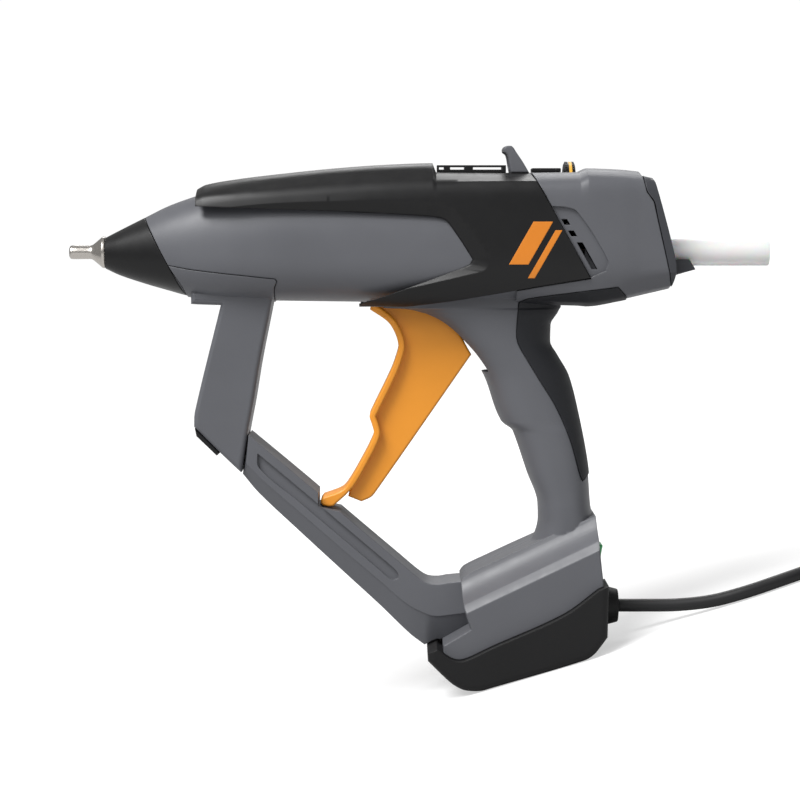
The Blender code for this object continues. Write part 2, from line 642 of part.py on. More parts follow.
def build_trigger():
    """Trigger with its wide front flange, web, foot and the fork that drives the carriage."""
    px, pz = TRIGGER_PIVOT
    back = []
    for i, (x, z) in enumerate(TRIGGER_FRONT):
        before = TRIGGER_FRONT[max(i - 1, 0)]
        after = TRIGGER_FRONT[min(i + 1, len(TRIGGER_FRONT) - 1)]
        run = Vector((after[0] - before[0], after[1] - before[1])).normalized()
        back.append((x - run.y * TRIGGER_FLANGE, z + run.x * TRIGGER_FLANGE))
    back[0] = (126.4, -20.4)
    flange = list(TRIGGER_FRONT) + [(105.1, -104.5), TRIGGER_TOE, (110.3, -105.7)] + list(reversed(back[:-1]))
    trigger = slab(flange, TRIGGER_FLANGE_HALF, 0.8, 1)
    join(trigger, slab(TRIGGER_WEB, TRIGGER_WEB_HALF, 1.0, 1))
    inner = CARRIAGE_HALF_WIDTH + 0.6
    outer = inner + ARM_THICKNESS
    join(trigger, rod_y(px, pz, 4.2, -TRIGGER_WEB_HALF, TRIGGER_WEB_HALF, 20), rod_y(px, pz, 3.4, -outer, outer, 20))
    lean = math.radians(TRIGGER_LEAN)
    along = Vector((math.sin(lean), math.cos(lean)))
    across = Vector((math.cos(lean), -math.sin(lean)))
    foot = Vector((px, pz))
    length = TRIGGER_ARM / math.cos(lean) + 5.2
    for side in (-1.0, 1.0):
        corners = [foot - across * 3.0, foot + across * 3.0, foot + across * 4.6 + along * length, foot - across * 4.6 + along * length]
        join(trigger, prism([tuple(c) for c in corners], side * inner, side * outer))
    middle = foot + along * (TRIGGER_ARM / math.cos(lean))
    slot = []
    for i in range(16):
        a = 2 * math.pi * i / 16 + math.pi / 16
        reach = PIN_RADIUS + GAP + 0.05
        shift = 0.9 if math.cos(a) > 0 else -0.9
        slot.append(tuple(middle + along * (reach * math.cos(a) + shift) + across * (reach * math.sin(a))))
    cut(trigger, prism(slot, -40.0, 40.0), rod_y(px, pz, PIN_RADIUS + GAP, -40.0, 40.0))
    finish(trigger, "trigger", "orange_plastic", (px, 0.0, pz))
    finish(rod_y(px, pz, PIN_RADIUS, -18.7, 18.7), "trigger_pin", "steel")


def build_rear():
    """Loading cap, hanging loop and top rail."""
    cap = common(prism(REAR_CAP, -60.0, 60.0), barrel(REAR, 0.3))
    lip = prism(CAP_LIP, -9.0, 9.0)
    join(cap, lip)
    cut(cap, turned(((230.0, STICK_DIAMETER / 2 + STICK_CLEARANCE), (270.0, STICK_DIAMETER / 2 + STICK_CLEARANCE)), count=28))
    finish(cap, "rear_cap", "cap_plastic")
    fin = prism(FIN, -12.0, 12.0)
    cut(fin, box(170.0, 200.0, -8.0, 8.0, 34.7, 42.0))
    finish(fin, "hanging_loop", "light_plastic")
    rail = box(153.6, 182.2, -6.5, 6.5, 33.65, 36.2)
    for x0, x1 in ((154.4, 156.5), (159.0, 165.0), (168.5, 180.6)):
        cut(rail, box(x0, x1, -20.0, 20.0, 34.4, 35.5))
    finish(rail, "top_rail", "black_plastic")
    tail = box(193.0, 205.0, -6.5, 6.5, 33.75, 35.0)
    finish(tail, "adjuster_window", "black_plastic")


def build_pad():
    pad = common(outer_body(0.5), prism(PAD, -61.0, 61.0))
    cut(pad, outer_body(-1.1))
    cut(pad, *screw_cutters())
    finish(pad, "grip_pad", "rubber")


def build_struts():
    """Front bracket with its clip on the nose, elbow pad and lower strut."""
    clip = barrel(CORE, 0.5)
    common(clip, prism(CLIP_REGION, -40.0, 40.0))
    strut = slab(UPPER_STRUT, STRUT_HALF_WIDTH, 2.0)
    join(clip, strut)
    cut(clip, barrel(CORE, -WALL))
    finish(clip, "front_bracket", "grey_plastic")
    finish(slab(ELBOW, STRUT_HALF_WIDTH - 1.0, 0.4, 1), "elbow_pad", "rubber")
    rings = []
    inner = STRUT_HALF_WIDTH - 4.5
    for y, outline in ((-STRUT_HALF_WIDTH, LOWER_RIDGE), (-inner, LOWER_STRUT), (inner, LOWER_STRUT), (STRUT_HALF_WIDTH, LOWER_RIDGE)):
        rings.append([(x, y, z) for x, z in outline])
    lower = loft(rings)
    groove = ((79.0, -83.2), (96.2, -97.6), (129.8, -126.2), (137.0, -132.4), (137.6, -135.4), (134.0, -135.6), (129.8, -132.0), (79.6, -89.2))
    for side in (-1.0, 1.0):
        cut(lower, prism(groove, side * (STRUT_HALF_WIDTH - 1.6), side * 30.0))
    px, pz = TRIGGER_PIVOT
    reach = math.hypot(TRIGGER_TOE[0] - px, TRIGGER_TOE[1] - pz) + 0.5
    sweep = rod_y(px, pz, reach, -40.0, 40.0, 96)
    common(sweep, box(104.2, 116.0, -50.0, 50.0, -120.0, -90.0))
    cut(lower, sweep)
    finish(lower, "lower_strut", "grey_plastic")


def build_base():
    """Rubber boot, switch, board and cord gland."""
    line = [(149.5, -150.0), (224.5, -128.0)]
    boot = slab(line + list(BOOT_UNDER), BOOT_HALF_WIDTH, 3.0)
    hollow = [(168.0, -150.0), (176.0, -150.0), (205.7, -140.0), (214.0, -136.0), (216.5, -158.0), (206.0, -164.0), (176.0, -172.5), (168.0, -173.5)]
    cut(boot, prism(hollow, -BASE_HALF_WIDTH + 4.0, BASE_HALF_WIDTH - 4.0))
    above = [(x, z - GAP) for x, z in BOOT_LINE] + [(240.0, -131.0), (240.0, -100.0), (130.0, -100.0), (130.0, -164.9), (148.9, -164.9)]
    cut(boot, prism(above, -60.0, 60.0))
    cut(boot, box(206.0, 240.0, -SWITCH_HALF_WIDTH - GAP, SWITCH_HALF_WIDTH + GAP, -142.6, -100.0))
    cut(boot, turned(((210.0, 6.3), (240.0, 6.3)), z=AXIS_Z_CORD, count=24))
    finish(boot, "boot", "rubber")
    gland = turned(
        ((208.0, 5.2), (212.0, 6.0), (224.3, 6.0), (224.3, 8.2), (228.6, 7.8), (230.1, 6.4)),
        z=AXIS_Z_CORD,
        count=24,
    )
    finish(gland, "strain_relief", "rubber")
    half = SWITCH_HALF_WIDTH
    body = box(207.0, 221.2, -half, half, -142.2, -120.6)
    cut(body, box(215.4, 230.0, -half + 0.9, half - 0.9, -141.2, -121.6))
    finish(body, "switch_body", "black_plastic")
    key = prism(((218.9, -139.9), (222.9, -139.8), (222.2, -131.4), (223.3, -122.5), (218.9, -122.5)), -half + 1.3, half - 1.3)
    finish(key, "switch_key", "green_plastic", (220.0, 0.0, -131.2))
    board = prism(((184.0, -146.5), (200.0, -139.3), (200.8, -141.0), (184.8, -148.2)), -18.0, 18.0)
    finish(board, "control_board", "board_green")
    block = prism(((188.0, -151.0), (200.0, -146.0), (203.0, -153.0), (191.0, -158.0)), -9.0, 9.0)
    finish(block, "mains_terminal", "light_plastic")


def build_screws():
    for i, (x, z) in enumerate(SCREWS):
        screw = turned(
            ((-12.0, SCREW_RADIUS), (8.4, SCREW_RADIUS)),
            z=z, x=x, axis="Y", count=14,
        )
        join(screw, turned(((8.3, SCREW_HEAD_RADIUS), (10.8, SCREW_HEAD_RADIUS)), z=z, x=x, axis="Y", count=18))
        finish(screw, f"screw_{i + 1}", "steel")


def smooth_path(points, samples):
    """Points along a smooth curve through the given ones."""
    path = []
    count = len(points)
    for i in range(count - 1):
        p0 = Vector(points[max(i - 1, 0)])
        p1 = Vector(points[i])
        p2 = Vector(points[i + 1])
        p3 = Vector(points[min(i + 2, count - 1)])
        for k in range(samples):
            t = k / samples
            path.append(
                0.5 * ((2 * p1) + (p2 - p0) * t + (2 * p0 - 5 * p1 + 4 * p2 - p3) * t * t + (3 * p1 - p0 - 3 * p2 + p3) * t ** 3)
            )
    path.append(Vector(points[-1]))
    return path


def from_gun(x, z):
    """A point of the gun's frame in the floor's frame, in millimetres."""
    angle = TILT
    dx = x - FOOT_CENTRE[0]
    dz = z - FOOT_CENTRE[1]
    return (dx * math.cos(angle) + dz * math.sin(angle), -dx * math.sin(angle) + dz * math.cos(angle))


def build_cord():
    """The free cord on the floor, the rest of it as a coil, and the plug."""
    lie = CORD_DIAMETER / 2 + 0.05
    start = from_gun(230.4, AXIS_Z_CORD)
    ahead = from_gun(242.0, AXIS_Z_CORD)
    across = COIL_TURNS_ACROSS * CORD_DIAMETER / 2
    ring_out = COIL_MEAN_RADIUS + across
    run = ring_out + lie + GAP
    coil_x = 160.5
    coil_y = -28.0
    route = [(start[0], 0.0, start[1]), (ahead[0], 0.0, ahead[1]), (66.0, 0.0, 6.0), (80.0, 0.0, lie + 0.6)]
    for x in (95.0, 110.0, 125.0, 140.0):
        t = (x - 84.0) / (coil_x - 84.0)
        route.append((x, (coil_y + run) * t * t * (3.0 - 2.0 * t), lie))
    route += [(coil_x + run * math.sin(a), coil_y + run * math.cos(a), lie) for a in (0.0, 0.25, 0.5)]
    path = smooth_path(route, 4)
    curve = bpy.data.curves.new("cord", "CURVE")
    curve.dimensions = "3D"
    curve.bevel_depth = CORD_DIAMETER / 2 * MM
    curve.bevel_resolution = 3
    curve.use_fill_caps = True
    spline = curve.splines.new("POLY")
    spline.points.add(len(path) - 1)
    for point, place in zip(spline.points, path):
        point.co = (place.x * MM, place.y * MM, place.z * MM, 1.0)
    cord = bpy.data.objects.new("cord", curve)
    bpy.context.scene.collection.objects.link(cord)
    curve.materials.append(material_for("cord", "rubber"))
    height = COIL_TURNS_ACROSS * CORD_DIAMETER
    ring = turned(((0.05, ring_out - 1.5), (2.0, ring_out), (height - 2.0, ring_out), (height, ring_out - 1.5)), x=coil_x, y=coil_y, axis="Z", count=40)
    hole = COIL_MEAN_RADIUS - across
    cut(ring, turned(((-5.0, hole), (height + 5.0, hole)), x=coil_x, y=coil_y, axis="Z", count=40))
    finish(ring, "cord_coil", "rubber")
    ring.parent = None
    tie = box(coil_x + hole - 1.6, coil_x + ring_out + 1.6, coil_y - 3.0, coil_y + 3.0, 0.0, height + 1.6)
    cut(tie, box(coil_x + hole - 0.3, coil_x + ring_out + 0.3, coil_y - 9.0, coil_y + 9.0, -5.0, height + 0.3))
    finish(tie, "coil_tie", "black_plastic")
    tie.parent = None
    # The plug lies on the coil, with its pins towards +X.
    half = 7.0
    lift = height + 0.2 + half
    plug_y = coil_y + COIL_MEAN_RADIUS - 9.0
    base = coil_x - 7.0
    tail = turned(((base - 10.5, CORD_DIAMETER / 2), (base - GAP, CORD_DIAMETER / 2)), y=plug_y, z=lift, count=14)
    finish(tail, "cord_tail", "rubber")
    tail.parent = None
    profile = ((base, 3.8), (base + 11.0, 4.6), (base + 15.0, 9.0), (base + 40.0, 13.0), (base + 42.0, 12.0))
    plug = turned(profile, y=plug_y, z=lift, count=20)
    common(plug, box(base - 5.0, base + 60.0, plug_y - 20.0, plug_y + 20.0, lift - half, lift + half))
    finish(plug, "plug", "black_plastic")
    plug.parent = None
    for name, dy in (("plug_pin_1", -9.5), ("plug_pin_2", 9.5)):
        profile = ((base + 42.3, 2.4), (base + 59.5, 2.4), (base + 61.0, 1.4))
        pin = turned(profile, y=plug_y + dy, z=lift, count=14)
        finish(pin, name, "brass")
        pin.parent = None


clear_scene()
FRAME = tilted_frame()
build_housing()
build_cover()
build_nose()
build_heat()
build_feed()
build_trigger()
build_rear()
build_pad()
build_struts()
build_base()
build_screws()
build_cord()
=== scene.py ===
"""Looks of a hot-melt glue gun with a closed handle: finer shells, finishes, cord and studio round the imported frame.

Every mesh is built in the gun's own frame in millimetres (X back from the nozzle tip, Z up from the barrel
axis, -Y the left side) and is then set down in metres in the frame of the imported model.
"""

from __future__ import annotations

import logging
import math
from collections.abc import Callable, Iterable, Sequence
from dataclasses import dataclass, field
from enum import Enum

import bmesh
import bpy
from mathutils import Matrix, Vector


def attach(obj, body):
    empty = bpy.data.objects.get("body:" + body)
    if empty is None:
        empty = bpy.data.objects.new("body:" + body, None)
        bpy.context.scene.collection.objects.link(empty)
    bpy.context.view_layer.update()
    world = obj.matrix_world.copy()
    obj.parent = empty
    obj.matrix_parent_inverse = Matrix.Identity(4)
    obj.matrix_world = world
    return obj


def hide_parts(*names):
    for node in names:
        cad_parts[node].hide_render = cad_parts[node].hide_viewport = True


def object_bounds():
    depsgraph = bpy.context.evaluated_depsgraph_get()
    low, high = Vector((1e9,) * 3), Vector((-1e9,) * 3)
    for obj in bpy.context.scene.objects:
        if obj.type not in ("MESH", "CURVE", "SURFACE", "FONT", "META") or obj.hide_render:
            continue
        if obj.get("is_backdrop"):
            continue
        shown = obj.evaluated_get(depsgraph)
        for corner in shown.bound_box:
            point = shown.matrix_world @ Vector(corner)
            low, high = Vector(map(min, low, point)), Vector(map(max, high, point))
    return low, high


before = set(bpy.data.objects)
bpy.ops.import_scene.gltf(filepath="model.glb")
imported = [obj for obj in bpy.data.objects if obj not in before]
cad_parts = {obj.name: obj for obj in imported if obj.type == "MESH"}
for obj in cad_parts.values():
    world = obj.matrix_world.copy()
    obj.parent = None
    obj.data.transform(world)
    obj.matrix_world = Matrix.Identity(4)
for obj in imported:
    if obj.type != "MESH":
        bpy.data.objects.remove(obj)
CAD_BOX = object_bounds()

Point2 = tuple[float, float]
Point3 = tuple[float, float, float]
Outline = Sequence[Point2]
Obj = bpy.types.Object
Node = bpy.types.Node
Socket = bpy.types.NodeSocket
Tree = bpy.types.NodeTree
Material = bpy.types.Material

LOG = logging.getLogger("glue_gun")

MM = 0.001
FOOT: tuple[Point2, Point2] = ((174.7, -179.1), (213.8, -167.4))
TILT = math.atan2(FOOT[1][1] - FOOT[0][1], FOOT[1][0] - FOOT[0][0])
STICK_RADIUS = 5.6
BORE_RADIUS = 6.3
GAP = 0.3
BODY = "gun_body"
TRIGGER_PIVOT = (131.0, -12.6)
PIN_RADIUS = 2.0
WHEEL_RADIUS = 13.0
WHEEL_CENTRE = 24.8
CORD_AXIS = -148.8
SCREWS = ((78.0, 19.5), (182.0, -14.5), (196.0, -64.0), (206.0, -108.0), (179.0, -143.0), (229.0, -13.6))

# Stations along the barrel: x, top, bottom, share of the half width, squareness.
CORE = (
    (15.2, 6.1, -6.9, 0.25, 2.0),
    (20.6, 8.9, -9.45, 0.354, 2.0),
    (31.8, 14.5, -13.2, 0.54, 2.1),
    (41.6, 19.3, -16.0, 0.685, 2.2),
    (50.0, 22.4, -18.2, 0.79, 2.3),
    (58.0, 24.8, -19.2, 0.865, 2.4),
    (72.0, 26.8, -19.9, 0.942, 2.5),
    (90.0, 28.6, -20.2, 0.985, 2.6),
    (121.0, 30.4, -20.6, 1.0, 2.7),
    (150.0, 30.8, -21.0, 1.0, 2.8),
    (190.0, 30.8, -21.4, 1.0, 2.8),
    (214.0, 30.8, -21.6, 0.98, 2.8),
)
REAR = (
    (183.5, 33.0, -20.8, 1.07, 2.9),
    (212.0, 33.4, -21.4, 1.055, 2.9),
    (215.3, 34.9, -21.7, 1.05, 2.9),
    (229.0, 34.4, -19.6, 1.01, 2.9),
    (237.0, 33.6, -17.8, 0.97, 2.9),
    (262.0, 31.5, -12.0, 0.90, 2.9),
)
# Stations down the handle: z, front, back, share of the grip's half width.
HANDLE = (
    (-11.0, 129.0, 203.5, 1.03),
    (-22.9, 126.5, 205.0, 1.03),
    (-23.4, 137.0, 204.6, 1.03),
    (-25.3, 145.5, 203.6, 1.02),
    (-29.9, 154.7, 200.8, 1.0),
    (-37.0, 162.7, 200.6, 0.98),
    (-42.7, 167.8, 203.6, 0.97),
    (-51.4, 173.3, 208.5, 0.96),
    (-70.7, 180.7, 213.4, 0.97),
    (-74.2, 185.2, 214.1, 0.98),
    (-76.0, 186.0, 214.5, 0.98),
    (-92.0, 191.5, 217.1, 1.0),
    (-105.4, 196.1, 218.1, 1.03),
    (-111.5, 196.3, 219.4, 1.08),
    (-120.1, 194.0, 220.4, 1.2),
    (-124.5, 185.0, 220.9, 1.3),
    (-128.8, 176.0, 221.3, 1.4),
)
# The base's side view, from under the grip round to the back.
BASE_LINE = (
    (206.0, -114.9), (194.0, -120.5), (185.0, -124.6), (176.0, -128.8), (165.4, -134.0), (163.6, -136.4),
    (164.2, -142.8), (165.4, -149.3), (167.2, -154.6), (156.0, -161.3), (156.0, -175.0), (222.8, -175.0),
    (222.8, -149.3), (222.1, -136.3), (221.3, -128.8), (220.4, -120.1), (219.4, -109.0),
)
# Stations along the cover: x, top, crest, share of the barrel's half width.
COVER = (
    (54.3, 26.4, 22.3, 0.83),
    (57.5, 28.1, 23.1, 0.865),
    (71.0, 30.5, 24.0, 0.94),
    (90.0, 32.8, 25.1, 0.985),
    (113.0, 35.1, 26.5, 1.0),
    (129.8, 36.3, 27.6, 1.0),
    (151.6, 37.1, 28.6, 1.0),
    (153.1, 33.3, 28.7, 1.0),
    (192.0, 33.1, 29.2, 1.0),
    (222.0, 33.0, 29.2, 0.98),
)
COVER_REGION = (
    (54.3, 50.0), (182.4, 50.0), (191.9, 33.0), (216.0, -10.1), (195.7, -13.4), (176.8, -16.9),
    (150.4, -21.0), (129.8, -22.9), (100.0, -22.9), (54.3, 19.2),
)
PANEL_INNER = (
    (40.0, 19.5), (57.7, 19.0), (91.9, 17.8), (113.1, 16.9), (146.6, 15.0), (155.1, 14.0), (158.0, 12.0),
    (167.2, -2.5), (166.3, -4.5), (162.8, -6.3), (129.8, -18.4), (121.4, -20.8), (121.4, -32.0), (40.0, -32.0),
)
PANEL_OUTER = (
    (40.0, 22.2), (60.0, 22.2), (95.0, 22.5), (113.0, 22.1), (146.6, 20.5), (156.3, 19.3), (159.9, 17.6),
    (175.1, -2.8), (174.8, -5.6), (173.4, -8.1), (146.6, -15.8), (122.6, -22.6), (121.4, -32.0), (40.0, -32.0),
)
REAR_REGION = (
    (182.9, 50.0), (192.4, 33.0), (216.5, -10.5), (196.0, -13.8), (186.0, -15.6), (186.0, -60.0),
    (236.0, -60.0), (249.9, -13.6), (243.2, 15.3), (241.9, 20.9), (239.0, 25.0), (237.7, 31.0),
    (236.5, 33.8), (236.0, 50.0),
)
REAR_CAVITY = (
    (187.0, 50.0), (196.5, 33.0), (221.5, -11.0), (221.5, -60.0), (236.0, -60.0), (246.6, -13.6),
    (239.8, 15.3), (238.4, 19.4), (235.6, 24.0), (234.4, 30.0), (233.6, 50.0),
)
POCKET = (
    (195.6, 27.3), (200.0, 19.4), (206.2, 19.0), (210.8, 17.0), (223.4, -2.9), (222.6, -7.5), (216.2, -10.2),
)
PAD = (
    (187.4, -20.5), (191.0, -18.9), (227.6, -14.1), (231.9, -19.3), (236.0, -40.0), (236.0, -100.0),
    (219.0, -90.9), (214.1, -94.5), (213.2, -92.6), (209.0, -77.8), (203.2, -64.3), (196.1, -52.7),
    (191.0, -44.4), (187.1, -37.3), (186.5, -32.8),
)
BOOT_LINE = (
    (153.5, -162.1), (155.9, -164.1), (159.5, -166.5), (162.7, -167.2), (165.9, -166.5), (176.0, -161.7),
    (205.7, -148.2), (219.9, -137.7),
)
BOOT_UNDER = (
    (224.0, -137.0), (223.6, -157.7), (221.2, -161.0), (218.0, -164.9), (213.8, -167.4), (174.7, -179.1),
    (171.8, -179.9), (167.6, -180.0), (163.9, -179.4), (159.1, -176.6), (149.7, -167.6), (149.5, -164.6),
)
CLIP_REGION = (
    (42.9, -5.4), (54.2, -7.3), (86.9, -10.8), (87.5, -11.7), (86.3, -15.2), (86.0, -40.0), (49.7, -40.0),
    (49.7, -18.1),
)
UPPER_STRUT = (
    (51.6, -16.0), (51.6, -21.2), (54.2, -21.4), (63.9, -21.7), (52.9, -66.2), (52.6, -72.3), (63.1, -82.8),
    (71.9, -91.2), (72.3, -91.2), (74.9, -75.2), (77.4, -62.0), (80.2, -45.2), (84.4, -24.2), (86.0, -16.0),
)
LOWER_STRUT = (
    (75.3, -75.6), (96.2, -93.0), (113.0, -107.3), (129.8, -121.6), (138.2, -128.7), (145.9, -135.2),
    (149.9, -137.6), (154.7, -138.0), (157.9, -137.4), (162.9, -136.4), (163.4, -142.8), (164.7, -149.4),
    (167.0, -155.2), (155.4, -161.6), (153.3, -161.6), (148.5, -164.0), (142.4, -159.4), (129.8, -147.2),
    (113.0, -131.7), (96.2, -116.1), (79.4, -100.2), (72.6, -92.1),
)
LOWER_RIDGE = (
    (75.3, -75.6), (96.2, -93.0), (113.0, -107.3), (129.8, -121.6), (138.2, -128.7), (145.9, -135.2),
    (149.9, -137.6), (154.7, -138.0), (157.9, -137.4), (162.9, -136.4), (163.4, -142.0), (164.3, -147.6),
    (164.7, -149.4), (156.0, -151.4), (153.6, -151.6), (149.9, -150.9), (141.4, -146.6), (129.8, -136.8),
    (113.0, -122.4), (96.2, -107.8), (82.0, -95.4), (74.2, -87.6),
)
TRIGGER_FRONT = (
    (125.7, -23.6), (133.1, -28.7), (136.2, -33.6), (137.5, -38.6), (136.8, -42.3), (134.4, -49.0),
    (126.4, -65.6), (125.5, -68.1), (126.4, -71.2), (127.3, -74.9), (126.4, -78.0), (122.7, -85.4),
    (117.1, -95.2), (114.0, -98.9), (106.1, -102.0),
)
TRIGGER_TOE = (106.1, -105.4)
TRIGGER_WEB = (
    (126.6, -15.0), (128.0, -24.0), (134.0, -29.5), (138.0, -36.0), (138.0, -43.0), (135.6, -49.6),
    (127.6, -66.0), (127.4, -69.0), (128.6, -75.0), (124.0, -86.0), (118.0, -96.6), (116.5, -102.0),
    (122.0, -104.2), (125.7, -102.6), (127.6, -100.8), (168.0, -42.5), (160.0, -30.0), (146.0, -22.5),
    (135.5, -13.0),
)
REAR_CAP = (
    (238.0, 31.6), (241.7, 30.7), (242.8, 28.8), (251.1, -2.7), (251.4, -9.8), (250.3, -13.9),
    (243.6, 15.4), (242.3, 21.1), (239.4, 25.2),
)
CAP_LIP = ((248.9, -2.7), (258.4, -2.7), (261.0, -7.0), (252.9, -9.3), (250.6, -10.3))
ELBOW = ((52.9, -72.9), (63.2, -83.2), (62.0, -84.3), (53.6, -76.2))


def gun_matrix() -> Matrix:
    """The matrix from the gun's frame in millimetres to the model's frame in metres.

    Returns:
        A scale to metres and a turn about Y that brings the foot flat on the floor at the origin.
    """
    centre = Vector(((FOOT[0][0] + FOOT[1][0]) / 2, 0.0, (FOOT[0][1] + FOOT[1][1]) / 2))
    return Matrix.Rotation(TILT, 4, "Y") @ Matrix.Scale(MM, 4) @ Matrix.Translation(-centre)


GUN = gun_matrix()


# ---------------------------------------------------------------- outlines and stations


def curved(points: Outline, step: float = 1.6, corner: float = 38.0, closed: bool = True) -> list[Point2]:
    """A smooth outline through the points, which stays sharp at its corners.

    Args:
        points: the outline's chosen points.
        step: the spacing of the new points, in millimetres.
        corner: the turn in degrees past which a point is a corner.
        closed: whether the last point joins the first.

    Returns:
        The finer outline.
    """
    count = len(points)
    vectors = [Vector(p) for p in points]
    sharp = []
    for i, p in enumerate(vectors):
        if not closed and i in (0, count - 1):
            sharp.append(True)
            continue
        before = p - vectors[i - 1]
        after = vectors[(i + 1) % count] - p
        sharp.append(before.length < 1e-6 or after.length < 1e-6 or math.degrees(before.angle(after)) > corner)
    out: list[Point2] = []
    for i in range(count if closed else count - 1):
        j = (i + 1) % count
        p1, p2 = vectors[i], vectors[j]
        p0 = p1 - (p2 - p1) if sharp[i] else vectors[i - 1]
        p3 = p2 + (p2 - p1) if sharp[j] else vectors[(j + 1) % count]
        length = (p2 - p1).length
        t1 = (p2 - p0).normalized() * length
        t2 = (p3 - p1).normalized() * length
        pieces = max(1, round(length / step))
        for k in range(pieces):
            t = k / pieces
            a = 2 * t**3 - 3 * t**2 + 1
            b = t**3 - 2 * t**2 + t
            c = -2 * t**3 + 3 * t**2
            d = t**3 - t**2
            out.append(tuple(p1 * a + t1 * b + p2 * c + t2 * d))
    if not closed:
        out.append(tuple(vectors[-1]))
    return out


def untied(points: list[Point2]) -> list[Point2]:
    """The outline with the small loops taken out that a tight corner leaves, and as many points as before."""
    line = [Vector(p) for p in points]
    count = len(line)
    for gap in (6, 5, 4, 3, 2):
        if count < gap + 6:
            continue
        for i in range(count):
            places = [(i + k) % count for k in range(gap + 2)]
            a, b, c, d = line[places[0]], line[places[1]], line[places[gap]], line[places[gap + 1]]
            first, second, apart = b - a, d - c, c - a
            turn = first.x * second.y - first.y * second.x
            if abs(turn) < 1e-9:
                continue
            t = (apart.x * second.y - apart.y * second.x) / turn
            u = (apart.x * first.y - apart.y * first.x) / turn
            if not (0.0 < t < 1.0 and 0.0 < u < 1.0):
                continue
            meet = a + first * t
            for k in range(1, gap + 1):
                share = 2.0 * k / (gap + 1)
                line[places[k]] = a.lerp(meet, share) if share <= 1.0 else meet.lerp(d, share - 1.0)
    return [tuple(p) for p in line]


def inset(outline: Outline, by: float) -> list[Point2]:
    """The outline moved inwards by a distance, corner by corner."""
    points = [Vector(p) for p in outline]
    area = sum(a.x * b.y - b.x * a.y for a, b in zip(points, points[1:] + points[:1]))
    side = 1.0 if area > 0 else -1.0
    moved: list[Point2] = []
    for i, point in enumerate(points):
        before = (point - points[i - 1]).normalized()
        after = (points[(i + 1) % len(points)] - point).normalized()
        normal = Vector((-before.y - after.y, before.x + after.x)) * side
        if normal.length < 1e-6:
            normal = Vector((-after.y, after.x)) * side
        normal.normalize()
        along = max(normal.dot(Vector((-after.y, after.x)) * side), 0.5)
        moved.append(tuple(point + normal * (by / along)))
    return untied(moved)


def eased(table: Sequence[Sequence[float]], column: int, at: float) -> float:
    """A value of a table of stations, read on a smooth curve that doesn't overshoot.

    Args:
        table: rows of numbers whose first column runs one way.
        column: the column to read.
        at: the place along the first column.

    Returns:
        The value there.
    """
    xs = [row[0] for row in table]
    ys = [row[column] for row in table]
    if xs[0] > xs[-1]:
        xs, ys = xs[::-1], ys[::-1]
    if at <= xs[0]:
        return ys[0]
    if at >= xs[-1]:
        return ys[-1]
    i = max(k for k in range(len(xs) - 1) if xs[k] <= at)
    slopes = [(ys[k + 1] - ys[k]) / (xs[k + 1] - xs[k]) for k in range(len(xs) - 1)]

    def tangent(k: int) -> float:
        """The slope at a station, nought where the curve turns."""
        if k in (0, len(xs) - 1):
            return slopes[min(k, len(slopes) - 1)]
        a, b = slopes[k - 1], slopes[k]
        return 0.0 if a * b <= 0 else 2 * a * b / (a + b)

    h = xs[i + 1] - xs[i]
    t = (at - xs[i]) / h
    return (
        ys[i] * (2 * t**3 - 3 * t**2 + 1)
        + tangent(i) * h * (t**3 - 2 * t**2 + t)
        + ys[i + 1] * (-2 * t**3 + 3 * t**2)
        + tangent(i + 1) * h * (t**3 - t**2)
    )


def steps(start: float, end: float, size: float, extra: Iterable[float] = ()) -> list[float]:
    """Places from start to end about a size apart, with some more put in."""
    count = max(1, round(abs(end - start) / size))
    places = {round(start + (end - start) * i / count, 4) for i in range(count + 1)}
    places |= {round(e, 4) for e in extra}
    return sorted(places, reverse=end < start)


# ---------------------------------------------------------------- meshes


def solid(bm: bmesh.types.BMesh, name: str = "piece") -> Obj:
    """An object from a closed bmesh, its faces turned outwards."""
    bmesh.ops.recalc_face_normals(bm, faces=bm.faces)
    if bm.calc_volume(signed=True) < 0:
        bmesh.ops.reverse_faces(bm, faces=bm.faces)
    mesh = bpy.data.meshes.new(name)
    bm.to_mesh(mesh)
    bm.free()
    obj = bpy.data.objects.new(name, mesh)
    bpy.context.scene.collection.objects.link(obj)
    return obj


def loft(rings: Sequence[Sequence[Point3]]) -> Obj:
    """A closed solid through rings of as many points each, with flat ends."""
    bm = bmesh.new()
    rows = [[bm.verts.new(point) for point in ring] for ring in rings]
    count = len(rows[0])
    for first, second in zip(rows, rows[1:]):
        for i in range(count):
            j = (i + 1) % count
            bm.faces.new((first[i], first[j], second[j], second[i]))
    bm.faces.new(rows[0])
    bm.faces.new(reversed(rows[-1]))
    return solid(bm)


def prism(outline: Outline, y0: float, y1: float) -> Obj:
    """An outline of (x, z) points carried from y0 to y1."""
    return loft([[(x, y, z) for x, z in outline] for y in (y0, y1)])


def slab(outline: Outline, half: float, edge: float, turns: int = 4) -> Obj:
    """A prism about y = 0 whose side edges are rounded to a radius.

    Args:
        outline: its side view.
        half: half its width.
        edge: the radius of its edges.
        turns: how many faces make the rounding.

    Returns:
        The solid.
    """
    rings = []
    for i in range(turns + 1):
        angle = math.pi / 2 * i / turns
        depth = edge * (1 - math.sin(angle))
        y = half - edge * (1 - math.cos(angle))
        rings.append([(x, -y, z) for x, z in inset(outline, depth)])
    rings += [[(x, -y, z) for x, y, z in ring] for ring in reversed(rings)]
    return loft(rings)


def box(x0: float, x1: float, y0: float, y1: float, z0: float, z1: float) -> Obj:
    """A block between two corners, for cutting."""
    return prism(((x0, z0), (x1, z0), (x1, z1), (x0, z1)), y0, y1)


